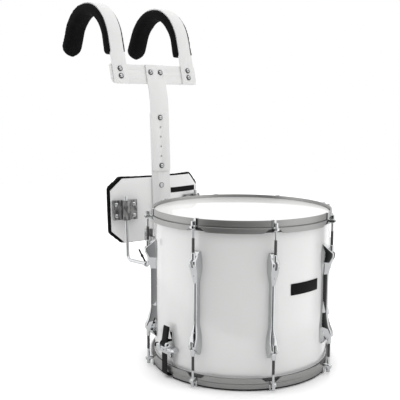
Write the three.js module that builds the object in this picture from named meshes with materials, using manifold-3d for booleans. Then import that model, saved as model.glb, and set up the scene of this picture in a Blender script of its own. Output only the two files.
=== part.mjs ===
// A marching snare drum with its shoulder carrier, in millimetres, +Z up.
// The drum's axis stands upright. The player wears the carrier on the +Y side, and -Y is the drum's front.
import * as THREE from "three";
import { mergeVertices } from "three/addons/utils/BufferGeometryUtils.js";
import Module from "manifold-3d";

const wasm = await Module();
wasm.setup();

// Fits
const FIT_GAP = 0.3; // between pieces that touch
const CUT_OVERRUN = 2; // how far a cut passes the face it opens
const WELD = 0.2; // how far pieces of one solid run into each other

// Counts of flat facets on round forms
const DRUM_FACETS = 64;
const ROD_FACETS = 10;
const ARC_STEPS = 7; // an arc gets twice as many facets
const CORNER_STEPS = 2;

// Shell
const SHELL_RADIUS = 177.8;
const SHELL_HEIGHT = 304.8;
const SHELL_WALL = 6;
const BEARING_BEVEL = 1.5; // outer bevel of each bearing edge
const BEARING_SLOPE = 3.2; // inner slope of each bearing edge

// Heads
const HEAD_FILM = 1;
const HEAD_SHOULDER = 1.2; // bend where the film turns down over the shell
const FLESH_HOOP_HEIGHT = 5.4;
const HEAD_RECESS = 6; // from the hoop's edge down to the film

// Hoops: an upright tier, a ledge, and a wider skirt
const HOOP_EASE = 1.4; // between the head's collar and the tier
const HOOP_WALL = 3;
const TIER_DEPTH = 13.3;
const SKIRT_STEP = 3.5; // how far the skirt stands out from the tier
const SKIRT_WALL = 2.7;
const SKIRT_ROUND = 0.8; // bevel on the ledge's outer edge
const HOOP_DEPTH = 23.7;
const SKIRT_GAP_ROOT = 12; // width of the skirt's gap at a rod, at the ledge
const SKIRT_GAP_MOUTH = 40; // and at the skirt's free edge

// Tension rods and claws
const LUG_COUNT = 8;
const ROD_STANDOFF = 8.3; // from the skirt out to the rod's centre line
const ROD_RADIUS = 2.8;
const ROD_IN_LUG = 30; // how deep a rod runs in its lug
const CLAW_WIDTH = 8.5;
const CLAW_LIP = 1; // over the hoop's edge
const CLAW_LIP_REACH = 2.4; // of the lip, in over the tier's edge
const CLAW_ARM = 3;
const CLAW_FOOT_DROP = 11.7; // from the hoop's edge to the foot's upper face
const CLAW_FOOT_TIP = 4.6; // thickness of the foot at its tip
const CLAW_FOOT_ROOT = 7; // and at the arm
const CLAW_FOOT_COVER = 6; // of metal outside the rod
const WASHER_RADIUS = 5;
const WASHER_HEIGHT = 1.5;
const ROD_HEAD_SIDE = 6.4;
const ROD_HEAD_HEIGHT = 9;

// Lugs
const LUG_HEIGHT = 198;
const LUG_WIDTH = 19; // at the shell
const LUG_FACE_WIDTH = 13; // at its outer face
const LUG_WAIST_WIDTH = 10;
const LUG_COVER = 6.2; // outside the rod's centre line
const LUG_WAIST_DEPTH = 11;
const LUG_TIP_DEPTH = 4; // at the very end, where the slope starts
const LUG_SLOPE = 16; // height of the sloping end
const LUG_BODY = 24; // from the end to where the flare starts to fall back
const LUG_FLARE = 36; // and to where it narrows to the waist
const LUG_FLARE_DEPTH = 18;
const LUG_TAPER = 22;
const LUG_TIP_WIDTH = 13;
const LUG_SLOT_WIDTH = 4.4;
const LUG_SLOT_LENGTH = 28.5; // from the lug's end

// Name badge, left bare
const BADGE_WIDTH = 74;
const BADGE_HEIGHT = 22;
const BADGE_THICKNESS = 1;
const BADGE_MIDDLE = 186.5; // above the floor
const BADGE_AZIMUTH = 2.5; // degrees from the drum's front

// Strainer, on the -X side
const STRAINER_MIDDLE = 57.5; // height of its crosspiece above the floor
const STRAINER_PLATE_WIDTH = 18;
const STRAINER_PLATE_RISE = 34; // of the back plate above the crosspiece's middle
const STRAINER_PLATE_DROP = 18;
const STRAINER_PLATE = 3;
const CROSSPIECE_BACK = 24; // from its middle towards the carrier
const CROSSPIECE_FRONT = 25;
const CROSSPIECE_HEIGHT = 12;
const CROSSPIECE_DEPTH = 15;
const LEVER_WIDTH = 16;
const LEVER_THICKNESS = 4;
const LEVER_LENGTH = 35;
const LEVER_PIVOT_RISE = 11; // of the hinge above the crosspiece's middle
const LEVER_PIVOT_OUT = 12; // of the hinge from the back plate
const LEVER_LEAN = 9; // degrees that the lever's top leans in to the shell
const LEVER_BARREL_RADIUS = 4;
const LEVER_PIN_RADIUS = 2;
const EAR_THICKNESS = 3;
const EAR_RIM = 3; // of metal round the pin's hole
const KNOB_RADIUS = 5;
const KNOB_LENGTH = 10;
const KNOB_STEM_RADIUS = 2.2;
const KNOB_STEM_LENGTH = 8;
const KNOB_FLUTES = 8;
const KNOB_FLUTE_RADIUS = 1.1;

// Butt clamp, on the +X side
const BUTT_WIDTH = 42;
const BUTT_HEIGHT = 12;
const BUTT_DEPTH = 12;

// Snare wires and their straps
const SNARE_LENGTH = 300;
const SNARE_WIDTH = 42;
const SNARE_THICKNESS = 1.2;
const SNARE_END = 14; // length of each end plate
const SNARE_SLOTS = 11;
const SNARE_SLOT_SHARE = 0.5; // of the pitch that a slot takes
const STRAP_WIDTH = 17;
const STRAP_THICKNESS = 1.2;
const STRAP_CLEAR = 1.2; // between the strap and the skirt
const STRAP_BEND = 6;
const GATE_WIDTH = 26; // notch in the bottom hoop where a strap passes
const GATE_DEPTH = 6.5;

// Carrier: where it stands and how it leans
const CARRIER_FRONT = 281.3; // the upper stem's front face, behind the drum's axis, at the height below
const CARRIER_LEVEL = 251.3;
const CARRIER_LEAN = 2.86; // degrees
const BEND_LEVEL = 536.3; // where the stem bends back
const HEAD_LEAN = 15; // degrees
const SHEET = 3; // thickness of the carrier's aluminium

// Stems
const STEM_WIDTH = 50;
const STEM_BEND_RADIUS = 200;
const STEM_CORNER = 6;
const LOWER_STEM_BOTTOM = -25; // along the lean, from the carrier's level
const LOWER_STEM_TOP = 258;
const UPPER_STEM_BOTTOM = 118;
const STEM_HOLE_FIRST = 131;
const STEM_HOLE_PITCH = 22.5;
const STEM_HOLE_COUNT = 6;
const STEM_HOLE_RADIUS = 2.6;
const RIVET_LEVEL = 85;
const RIVET_RADIUS = 6;
const RIVET_HEIGHT = 1.2;
const RIVET_SHANK_RADIUS = 3;

// Belly plate and pad
const BELLY_BOTTOM = -42.6;
const BELLY_HEIGHT = 147.7;
const BELLY_WIDTH = 254; // along the curve
const BELLY_CORNER = 27.5;
const BELLY_RADIUS = 311;
const BELLY_PAD = 12;
const BELLY_PAD_SIDE_RIM = 6; // how far the pad stands out past the plate
const BELLY_PAD_TOP_RIM = 3.5;
const BELLY_PAD_BOTTOM_RIM = 1;

// Crossbar
const CROSSBAR_WIDTH = 238;
const CROSSBAR_BOTTOM = 38.3; // along the head's lean, from the bend
const CROSSBAR_HEIGHT = 45;
const CROSSBAR_CORNER = 12; // at its lower ends
const CROSSBAR_TOP_CORNER = 3;
const CROSSBAR_STEPS = 3;
const CENTRE_BOLT_SPACING = 27;
const CENTRE_BOLT_LEVEL = 65.2;
const HOOK_SPACING = 190;
const HOOK_BOLT_LEVEL = 54.9;
const HOOK_BOLT_PITCH = 17;

// Shoulder hooks
const HOOK_WIDTH = 38;
const HOOK_NECK_WIDTH = 34; // where it bears the pad
const HOOK_NECK_TAPER = 6;
const HOOK_ARCH_START = 149;
const HOOK_FRONT_RADIUS = 112;
const HOOK_REAR_RADIUS = 105;
const HOOK_REAR_DROP = 26; // degrees from upright of the rear leg
const HOOK_REAR_LEG = 36;
const SHOULDER_PAD_WIDTH = 44;
const SHOULDER_PAD = 21;
const SHOULDER_PAD_START = 112;
const SHOULDER_PAD_TAIL = 57.5; // of the rear leg that the pad covers
const PAD_CORNER = 3.5;
const PAD_BACK_CORNER = 1; // along the edges against the strap
const PAD_CROWN = 1.6;
const PAD_STEPS = 22;
const PAD_CROWN_SHARE = 0.75; // of the crown, halfway out
const PAD_TIP_SHARES = [0.3, 0.55, 0.76, 0.9, 0.98]; // of the pad's half width, along its round end

// Bolts
const BOLT_RADIUS = 3.5;
const BOLT_HEAD_RADIUS = 6;
const BOLT_HEAD_HEIGHT = 4;
const NUT_RADIUS = 6.5;
const NUT_HEIGHT = 5;
const NUT_SIDES = 6;
const BOLT_TAIL = 1.5; // of thread past the nut
const BOLT_CROWN_SHARE = 0.6; // of the head's radius, at its top
const BOLT_RIM_SHARE = 0.55; // of the head's height, at its rim

// J rods, their clamps, receivers and latches
const J_ROD_SPACING = 200;
const J_ROD_RADIUS = 4;
const J_ROD_BEHIND = 3; // from the stem's front plane back to the rod's centre line
const J_ROD_TOP = 66; // along the lean, from the carrier's level
const J_ROD_RUN_LEVEL = 170.5; // height of the run where it meets the long leg
const J_ROD_RUN_RISE = 5; // of the run, from the long leg to the short one
const J_ROD_BEND = 12;
const J_ROD_FRONT_BEND = 6; // at the foot of the short leg
const J_ROD_SHORT_LEG = 193.5; // behind the drum's axis
const J_ROD_STEPS = 38;
const J_ROD_SIDES = 8;
const CLAMP_WIDTH = 57.5;
const CLAMP_HEIGHT = 45;
const CLAMP_BOTTOM = 11.2; // along the lean, from the carrier's level
const CLAMP_BASE = 12;
const CLAMP_BLOCK_WIDTH = 17.5;
const CLAMP_BLOCK_COVER = 3.4; // of metal outside the rod's hole
const CLAMP_CORNER = 2;
const RECEIVER_BASE_INSET = 5.62; // of the base's middle, from the rod's line in towards the drum's back
const RECEIVER_TOP = 255.5; // above the floor
const RECEIVER_HEIGHT = 26;
const RECEIVER_BLOCK = 13;
const RECEIVER_BASE_WIDTH = 16;
const RECEIVER_BASE_HEIGHT = 34;
const RECEIVER_BASE = 4;
const RECEIVER_ARM_WIDTH = 9;
const RECEIVER_ARM_HEIGHT = 11;
const RECEIVER_STUB = 2; // of the rod, above the receiver
const LATCH_SETBACK = 10.2; // behind the rod's short leg
const LATCH_LENGTH = 6;
const LATCH_CLEAR = 0.5; // round the rod, so that the ring turns past the bend
const LATCH_WALL = 2.2;
const LATCH_LEVER = 34;
const LATCH_LEVER_RADIUS = 1.9;
const LATCH_COLLAR_RADIUS = 3;
const LATCH_COLLAR_LENGTH = 5;
const LATCH_COLLAR_SHARE = 0.48; // of the lever's length, where its collar sits
const LATCH_TILT = 44; // degrees that the lever leans back

// Sizes that follow from those above
const radians = THREE.MathUtils.degToRad;
const DRUM_HEIGHT = SHELL_HEIGHT + 2 * (FIT_GAP + HEAD_FILM + HEAD_RECESS);
const HOOP_EDGE = CLAW_LIP + FIT_GAP;
const DRUM_MIDDLE = HOOP_EDGE + DRUM_HEIGHT / 2;
const COLLAR_RADIUS = SHELL_RADIUS + FIT_GAP + HEAD_FILM;
const TIER_INNER = COLLAR_RADIUS + HOOP_EASE;
const TIER_OUTER = TIER_INNER + HOOP_WALL;
const SKIRT_OUTER = TIER_OUTER + SKIRT_STEP;
const SKIRT_INNER = SKIRT_OUTER - SKIRT_WALL;
const ROD_CIRCLE = SKIRT_OUTER + ROD_STANDOFF;
const SEAT_RADIUS = SHELL_RADIUS + FIT_GAP; // where a fitting sits on the shell
const LUG_DEPTH = ROD_CIRCLE + LUG_COVER - SEAT_RADIUS;
const HOLE_RADIUS = BOLT_RADIUS + FIT_GAP;
const HOOK_BOLT_TOP = HOOK_BOLT_LEVEL + HOOK_BOLT_PITCH;

// Materials
const finish = (name, color, roughness, metalness) =>
  new THREE.MeshStandardMaterial({ name, color, roughness, metalness });
const WHITE_SHELL = finish("white_shell", 0xf1f1ef, 0.12, 0);
const DRUM_FILM = finish("drum_film", 0xf4f4f1, 0.45, 0);
const GREY_HOOP = finish("grey_hoop", 0x8d8d8b, 0.4, 0.6);
const CHROME = finish("chrome", 0xc9cbcc, 0.12, 1);
const BLACK_METAL = finish("black_metal", 0x151515, 0.4, 0.3);
const BLACK_PLASTIC = finish("black_plastic", 0x111111, 0.5, 0);
const WHITE_COAT = finish("white_coat", 0xe9e9e7, 0.4, 0);
const FOAM = finish("foam", 0x151516, 0.9, 0);
const STEEL = finish("steel", 0xa9abac, 0.3, 1);

const part = new THREE.Group();

// A named mesh, put in the group that places it.
function place(group, name, geometry, material) {
  const mesh = new THREE.Mesh(geometry, material);
  mesh.name = name;
  group.add(mesh);
  return mesh;
}

// A group inside another one, moved and turned.
function frame(parent, x, y, z, turnX = 0, turnZ = 0) {
  const group = new THREE.Group();
  group.position.set(x, y, z);
  group.rotation.set(turnX, 0, turnZ, "ZXY");
  parent.add(group);
  return group;
}

// A closed geometry as a solid for cutting and joining.
function solid(geometry) {
  const bare = new THREE.BufferGeometry();
  bare.setAttribute("position", geometry.getAttribute("position"));
  bare.setIndex(geometry.getIndex());
  const merged = mergeVertices(bare);
  const triVerts = new Uint32Array(merged.index.array);
  const vertProperties = merged.attributes.position.array;
  return new wasm.Manifold(new wasm.Mesh({ numProp: 3, vertProperties, triVerts }));
}

// A solid back as a geometry.
function surface(body) {
  const mesh = body.getMesh();
  const geometry = new THREE.BufferGeometry();
  geometry.setAttribute("position", new THREE.BufferAttribute(mesh.vertProperties, mesh.numProp));
  geometry.setIndex(new THREE.BufferAttribute(mesh.triVerts, 1));
  geometry.computeVertexNormals();
  return geometry;
}

const joined = (...pieces) => surface(pieces.map(solid).reduce((sum, piece) => sum.add(piece)));

function cut(geometry, ...tools) {
  return surface(tools.map(solid).reduce((rest, tool) => rest.subtract(tool), solid(geometry)));
}

const common = (first, second) => surface(solid(first).intersect(solid(second)));

// A flat outline from pairs of coordinates.
const outline = (pairs) => new THREE.Shape(pairs.map(([x, y]) => new THREE.Vector2(x, y)));

// An outline drawn in plan, as tall as said. Each of its arcs gets twice the steps.
const column = (shape, height, curveSegments = CORNER_STEPS) =>
  new THREE.ExtrudeGeometry(shape, { depth: height, bevelEnabled: false, curveSegments });

// An outline drawn along X and up, as wide as said, half on each side of Y = 0.
const slab = (shape, width, steps) =>
  column(shape, width, steps).rotateX(Math.PI / 2).translate(0, width / 2, 0);

// An outline drawn along X and up, thick towards +Y from Y = 0.
const panel = (shape, thickness, steps) =>
  column(shape, thickness, steps).rotateX(Math.PI / 2).translate(0, thickness, 0);

// An outline drawn along Y and up, as wide as said, half on each side of X = 0.
const sideSlab = (shape, width, steps) => slab(shape, width, steps).rotateZ(Math.PI / 2);

function box(x0, x1, y0, y1, z0, z1) {
  const geometry = new THREE.BoxGeometry(x1 - x0, y1 - y0, z1 - z0);
  return geometry.translate((x0 + x1) / 2, (y0 + y1) / 2, (z0 + z1) / 2);
}

// Round bars along each axis, from one level to another.
function uprightBar(radius, z0, z1, sides = ROD_FACETS) {
  const geometry = new THREE.CylinderGeometry(radius, radius, z1 - z0, sides);
  return geometry.rotateX(Math.PI / 2).translate(0, 0, (z0 + z1) / 2);
}

function backwardBar(radius, y0, y1, sides = ROD_FACETS) {
  const geometry = new THREE.CylinderGeometry(radius, radius, y1 - y0, sides);
  return geometry.translate(0, (y0 + y1) / 2, 0);
}

// A ring or disc turned about the upright axis from a profile of radius and height.
function turned(pairs) {
  const points = pairs.map(([r, z]) => new THREE.Vector2(r, z));
  return new THREE.LatheGeometry(points, DRUM_FACETS).rotateX(Math.PI / 2);
}

// A group on the drum's side: its X points out of the shell, at the azimuth from the drum's front.
const atAzimuth = (parent, degrees) =>
  frame(parent, 0, 0, 0, 0, radians(degrees) - Math.PI / 2);

const lugAzimuths = Array.from({ length: LUG_COUNT }, (_, i) => ((i + 0.5) * 360) / LUG_COUNT);

// Shell

function shell() {
  const half = SHELL_HEIGHT / 2;
  const inner = SHELL_RADIUS - SHELL_WALL;
  const edge = SHELL_RADIUS - BEARING_BEVEL;
  const crest = inner + BEARING_SLOPE;
  return turned([
    [inner, BEARING_SLOPE - half],
    [crest, -half],
    [edge, -half],
    [SHELL_RADIUS, BEARING_BEVEL - half],
    [SHELL_RADIUS, half - BEARING_BEVEL],
    [edge, half],
    [crest, half],
    [inner, half - BEARING_SLOPE],
    [inner, BEARING_SLOPE - half],
  ]);
}

// A head, drawn for the top, with its flesh hoop outside the shell.
function head() {
  const edge = DRUM_HEIGHT / 2;
  const face = edge - HEAD_RECESS;
  const under = face - HEAD_FILM;
  const hoopTop = edge - TIER_DEPTH - HOOP_WALL - FIT_GAP;
  const hoopBottom = hoopTop - FLESH_HOOP_HEIGHT;
  const hoopRadius = SKIRT_INNER - FIT_GAP;
  const shoulder = HEAD_SHOULDER + HEAD_FILM / 2;
  return turned([
    [0, under],
    [SEAT_RADIUS - HEAD_SHOULDER, under],
    [SEAT_RADIUS, under - HEAD_SHOULDER],
    [SEAT_RADIUS, hoopBottom],
    [hoopRadius, hoopBottom],
    [hoopRadius, hoopTop],
    [COLLAR_RADIUS, hoopTop],
    [COLLAR_RADIUS, face - shoulder],
    [COLLAR_RADIUS - shoulder, face],
    [0, face],
  ]);
}

// Hoops

// The ring of a hoop, drawn for the top.
function hoopRing() {
  const edge = DRUM_HEIGHT / 2;
  const ledge = edge - TIER_DEPTH;
  const free = edge - HOOP_DEPTH;
  return turned([
    [TIER_INNER, edge],
    [TIER_INNER, ledge - HOOP_WALL],
    [SKIRT_INNER, ledge - HOOP_WALL],
    [SKIRT_INNER, free],
    [SKIRT_OUTER, free],
    [SKIRT_OUTER, ledge - SKIRT_ROUND],
    [SKIRT_OUTER - SKIRT_ROUND, ledge],
    [TIER_OUTER, ledge],
    [TIER_OUTER, edge],
    [TIER_INNER, edge],
  ]);
}

// The wedge that opens the skirt at one rod.
function skirtGap(degrees) {
  const edge = DRUM_HEIGHT / 2;
  const ledge = edge - TIER_DEPTH;
  const free = edge - HOOP_DEPTH;
  const root = SKIRT_GAP_ROOT / 2;
  const mouth = SKIRT_GAP_MOUTH / 2;
  const wedge = outline([
    [-mouth, free - CUT_OVERRUN],
    [mouth, free - CUT_OVERRUN],
    [mouth, free],
    [root, ledge],
    [root, ledge + CUT_OVERRUN],
    [-root, ledge + CUT_OVERRUN],
    [-root, ledge],
    [-mouth, free],
  ]);
  const depth = SKIRT_STEP + CUT_OVERRUN;
  const tool = panel(wedge, depth).translate(0, -TIER_OUTER - depth, 0);
  return tool.rotateZ(radians(degrees));
}

function topHoop() {
  return cut(hoopRing(), ...lugAzimuths.map(skirtGap));
}

function bottomHoop() {
  const edge = DRUM_HEIGHT / 2;
  const gates = [1, -1].map((side) =>
    box(
      side > 0 ? TIER_INNER - CUT_OVERRUN : -TIER_OUTER - CUT_OVERRUN,
      side > 0 ? TIER_OUTER + CUT_OVERRUN : CUT_OVERRUN - TIER_INNER,
      -GATE_WIDTH / 2,
      GATE_WIDTH / 2,
      edge - GATE_DEPTH,
      edge + CUT_OVERRUN,
    ),
  );
  return cut(hoopRing(), ...lugAzimuths.map(skirtGap), ...gates);
}

// Lugs and tension rods

// One lug, standing on the shell at X = 0.
function lug() {
  const half = LUG_HEIGHT / 2;
  const slopeEnd = half - LUG_SLOPE;
  const bodyEnd = half - LUG_BODY;
  const flareEnd = half - LUG_FLARE;
  const waistEnd = flareEnd - LUG_TAPER;
  const side = outline([
    [0, -half],
    [LUG_TIP_DEPTH, -half],
    [LUG_DEPTH, -slopeEnd],
    [LUG_DEPTH, -bodyEnd],
    [LUG_FLARE_DEPTH, -flareEnd],
    [LUG_WAIST_DEPTH, -waistEnd],
    [LUG_WAIST_DEPTH, waistEnd],
    [LUG_FLARE_DEPTH, flareEnd],
    [LUG_DEPTH, bodyEnd],
    [LUG_DEPTH, slopeEnd],
    [LUG_TIP_DEPTH, half],
    [0, half],
  ]);
  const wide = LUG_WIDTH / 2;
  const narrow = LUG_WAIST_WIDTH / 2;
  const tip = LUG_TIP_WIDTH / 2;
  const front = outline([
    [-tip, -half],
    [tip, -half],
    [wide, -slopeEnd],
    [wide, -flareEnd],
    [narrow, -waistEnd],
    [narrow, waistEnd],
    [wide, flareEnd],
    [wide, slopeEnd],
    [tip, half],
    [-tip, half],
    [-wide, slopeEnd],
    [-wide, flareEnd],
    [-narrow, waistEnd],
    [-narrow, -waistEnd],
    [-wide, -flareEnd],
    [-wide, -slopeEnd],
  ]);
  const across = panel(front, LUG_DEPTH + CUT_OVERRUN).rotateZ(-Math.PI / 2);
  const face = LUG_FACE_WIDTH / 2;
  const section = outline([[0, -wide], [LUG_DEPTH, -face], [LUG_DEPTH, face], [0, wide]]);
  const taper = column(section, LUG_HEIGHT + CUT_OVERRUN).translate(0, 0, -half - CUT_OVERRUN / 2);
  const body = common(common(slab(side, LUG_WIDTH + CUT_OVERRUN), across), taper);
  const rodOut = ROD_CIRCLE - SEAT_RADIUS;
  const boreStart = half - ROD_IN_LUG - FIT_GAP;
  const slotTop = half + CUT_OVERRUN;
  const slotBottom = half - LUG_SLOT_LENGTH;
  const openings = [1, -1].flatMap((end) => {
    const low = end > 0 ? boreStart : -half - CUT_OVERRUN;
    const high = end > 0 ? half + CUT_OVERRUN : -boreStart;
    const bore = uprightBar(ROD_RADIUS + FIT_GAP, low, high).translate(rodOut, 0, 0);
    const slot = box(
      rodOut,
      LUG_DEPTH + CUT_OVERRUN,
      -LUG_SLOT_WIDTH / 2,
      LUG_SLOT_WIDTH / 2,
      end > 0 ? slotBottom : -slotTop,
      end > 0 ? slotTop : -slotBottom,
    );
    return [bore, slot];
  });
  return cut(body, ...openings);
}

// One tension rod with its claw, drawn for the top hoop, X out from the drum's axis.
function tensionRod() {
  const edge = DRUM_HEIGHT / 2;
  const armInner = TIER_OUTER + FIT_GAP;
  const armOuter = armInner + CLAW_ARM;
  const footTop = edge - CLAW_FOOT_DROP;
  const lipTop = edge + FIT_GAP + CLAW_LIP;
  const tip = ROD_CIRCLE + CLAW_FOOT_COVER;
  const step = edge - TIER_DEPTH - HOOP_WALL / 2;
  const claw = outline([
    [SKIRT_INNER, footTop - CLAW_FOOT_ROOT],
    [ROD_CIRCLE, footTop - CLAW_FOOT_ROOT],
    [tip, footTop - CLAW_FOOT_TIP],
    [tip, footTop],
    [armOuter, footTop],
    [armOuter, lipTop],
    [TIER_OUTER - CLAW_LIP_REACH, lipTop],
    [TIER_OUTER - CLAW_LIP_REACH, edge + FIT_GAP],
    [armInner, edge + FIT_GAP],
    [armInner, step],
    [SKIRT_INNER, step],
  ]);
  const washerTop = footTop + WASHER_HEIGHT;
  const headTop = footTop + ROD_HEAD_HEIGHT;
  const rodEnd = LUG_HEIGHT / 2 - ROD_IN_LUG;
  const rod = uprightBar(ROD_RADIUS, rodEnd, footTop);
  const washer = uprightBar(WASHER_RADIUS, footTop - WASHER_HEIGHT, washerTop);
  const half = ROD_HEAD_SIDE / 2;
  const square = box(-half, half, -half, half, footTop, headTop);
  const screw = joined(rod, washer, square).translate(ROD_CIRCLE, 0, 0);
  return joined(slab(claw, CLAW_WIDTH), screw);
}

function addDrum(parent) {
  const upper = frame(parent, 0, 0, DRUM_MIDDLE);
  const lower = frame(parent, 0, 0, DRUM_MIDDLE, Math.PI);
  place(upper, "shell", shell(), WHITE_SHELL);
  place(upper, "batter_head", head(), DRUM_FILM);
  place(lower, "snare_head", head(), DRUM_FILM);
  place(upper, "top_hoop", topHoop(), GREY_HOOP);
  place(lower, "bottom_hoop", bottomHoop(), GREY_HOOP);
  const lugShape = lug();
  const rodShape = tensionRod();
  lugAzimuths.forEach((degrees, i) => {
    const seat = atAzimuth(upper, degrees);
    place(frame(seat, SEAT_RADIUS, 0, 0), `lug_${i + 1}`, lugShape, CHROME);
    place(seat, `top_rod_${i + 1}`, rodShape, CHROME);
    place(atAzimuth(lower, 180 - degrees), `bottom_rod_${i + 1}`, rodShape, CHROME);
  });
}

// Badge

function badge() {
  const inner = SEAT_RADIUS;
  const outer = SEAT_RADIUS + BADGE_THICKNESS;
  const spread = BADGE_WIDTH / SHELL_RADIUS / 2;
  const shape = new THREE.Shape();
  shape.absarc(0, 0, outer, -spread, spread, false);
  shape.absarc(0, 0, inner, spread, -spread, true);
  return column(shape, BADGE_HEIGHT, ARC_STEPS).translate(0, 0, BADGE_MIDDLE - BADGE_HEIGHT / 2);
}

// Strainer: a back plate, a crosspiece and two ears, standing on the shell at X = 0.

function strainerBody() {
  const halfWidth = STRAINER_PLATE_WIDTH / 2;
  const halfHeight = CROSSPIECE_HEIGHT / 2;
  const plate = box(
    0, STRAINER_PLATE, -halfWidth, halfWidth, -STRAINER_PLATE_DROP, STRAINER_PLATE_RISE,
  );
  const out = STRAINER_PLATE + CROSSPIECE_DEPTH;
  const bar = new THREE.Shape();
  bar.moveTo(-CROSSPIECE_BACK, -halfHeight);
  bar.lineTo(CROSSPIECE_FRONT - halfHeight, -halfHeight);
  bar.absarc(CROSSPIECE_FRONT - halfHeight, 0, halfHeight, -Math.PI / 2, Math.PI / 2, false);
  bar.lineTo(-CROSSPIECE_BACK, halfHeight);
  const crosspiece = panel(bar, out).rotateZ(Math.PI / 2).translate(out, 0, 0);
  const eyeRadius = LEVER_PIN_RADIUS + FIT_GAP + EAR_RIM;
  const pivotOut = STRAINER_PLATE + LEVER_PIVOT_OUT;
  const earIn = LEVER_WIDTH / 2 + FIT_GAP;
  const ears = [1, -1].map((side) => {
    const shape = new THREE.Shape();
    shape.moveTo(pivotOut + eyeRadius, 0);
    shape.lineTo(pivotOut + eyeRadius, LEVER_PIVOT_RISE);
    shape.absarc(pivotOut, LEVER_PIVOT_RISE, eyeRadius, 0, Math.PI / 2, false);
    shape.lineTo(STRAINER_PLATE / 2, LEVER_PIVOT_RISE + eyeRadius);
    shape.lineTo(STRAINER_PLATE / 2, 0);
    return slab(shape, EAR_THICKNESS).translate(0, side * (earIn + EAR_THICKNESS / 2), 0);
  });
  const span = earIn + EAR_THICKNESS + CUT_OVERRUN;
  const bore = backwardBar(LEVER_PIN_RADIUS + FIT_GAP, -span, span);
  bore.translate(pivotOut, 0, LEVER_PIVOT_RISE);
  const thread = backwardBar(
    KNOB_STEM_RADIUS + FIT_GAP, -CROSSPIECE_BACK - CUT_OVERRUN, KNOB_STEM_LENGTH - CROSSPIECE_BACK,
  );
  thread.translate(STRAINER_PLATE + CROSSPIECE_DEPTH / 2, 0, 0);
  return cut(joined(plate, crosspiece, ...ears), bore, thread);
}

// The lever, its hinge at the origin.
function strainerLever() {
  const reach = LEVER_WIDTH / 2 + FIT_GAP + EAR_THICKNESS;
  const pin = backwardBar(LEVER_PIN_RADIUS, -reach, reach);
  const barrel = backwardBar(LEVER_BARREL_RADIUS, -LEVER_WIDTH / 2, LEVER_WIDTH / 2);
  const half = LEVER_THICKNESS / 2;
  const blade = new THREE.Shape();
  blade.moveTo(-half, 0);
  blade.lineTo(half, 0);
  blade.lineTo(half, LEVER_LENGTH - half);
  blade.absarc(0, LEVER_LENGTH - half, half, 0, Math.PI, false);
  return joined(pin, barrel, slab(blade, LEVER_WIDTH)).rotateY(-radians(LEVER_LEAN));
}

// The knob, its shoulder at the origin and its stem towards +Y.
function strainerKnob() {
  const flutes = Array.from({ length: KNOB_FLUTES }, (_, i) => {
    const angle = (2 * Math.PI * i) / KNOB_FLUTES;
    const tool = backwardBar(KNOB_FLUTE_RADIUS, -KNOB_LENGTH - CUT_OVERRUN, CUT_OVERRUN, NUT_SIDES);
    return tool.translate(KNOB_RADIUS * Math.cos(angle), 0, KNOB_RADIUS * Math.sin(angle));
  });
  const grip = cut(backwardBar(KNOB_RADIUS, -KNOB_LENGTH, 0, 2 * KNOB_FLUTES), ...flutes);
  return joined(grip, backwardBar(KNOB_STEM_RADIUS, -KNOB_LENGTH / 2, KNOB_STEM_LENGTH));
}

function buttPlate() {
  return box(0, BUTT_DEPTH, -BUTT_WIDTH / 2, BUTT_WIDTH / 2, -BUTT_HEIGHT / 2, BUTT_HEIGHT / 2);
}

// The wires under the snare head, with a strap at each end up to the strainer and the butt clamp.
function snareWires() {
  const top = HOOP_EDGE + HEAD_RECESS - FIT_GAP;
  const middle = top - SNARE_THICKNESS;
  const half = SNARE_LENGTH / 2;
  const wide = SNARE_WIDTH / 2;
  const plate = outline([[-half, -wide], [half, -wide], [half, wide], [-half, wide]]);
  const pitch = SNARE_WIDTH / (SNARE_SLOTS + 1);
  const slotHalf = (pitch * SNARE_SLOT_SHARE) / 2;
  const slotEnd = half - SNARE_END;
  for (let i = 1; i <= SNARE_SLOTS; i += 1) {
    const y = i * pitch - wide;
    const slot = [
      [-slotEnd, y - slotHalf],
      [-slotEnd, y + slotHalf],
      [slotEnd, y + slotHalf],
      [slotEnd, y - slotHalf],
    ];
    plate.holes.push(new THREE.Path(slot.map(([a, b]) => new THREE.Vector2(a, b))));
  }
  const wires = column(plate, SNARE_THICKNESS).translate(0, 0, middle);
  const high = middle + WELD;
  const low = high - STRAP_THICKNESS;
  const up = SKIRT_OUTER + STRAP_CLEAR;
  const strapTop = STRAINER_MIDDLE - Math.max(CROSSPIECE_HEIGHT, BUTT_HEIGHT) / 2 - FIT_GAP;
  const outerBend = STRAP_BEND + STRAP_THICKNESS;
  const strap = new THREE.Shape();
  strap.moveTo(half - SNARE_END, low);
  strap.lineTo(up - STRAP_BEND, low);
  strap.absarc(up - STRAP_BEND, low + outerBend, outerBend, -Math.PI / 2, 0, false);
  strap.lineTo(up + STRAP_THICKNESS, strapTop);
  strap.lineTo(up, strapTop);
  strap.lineTo(up, low + outerBend);
  strap.absarc(up - STRAP_BEND, low + outerBend, STRAP_BEND, 0, -Math.PI / 2, true);
  strap.lineTo(half - SNARE_END, high);
  const right = slab(strap, STRAP_WIDTH);
  const left = right.clone().rotateZ(Math.PI);
  return joined(wires, right, left);
}

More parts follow.
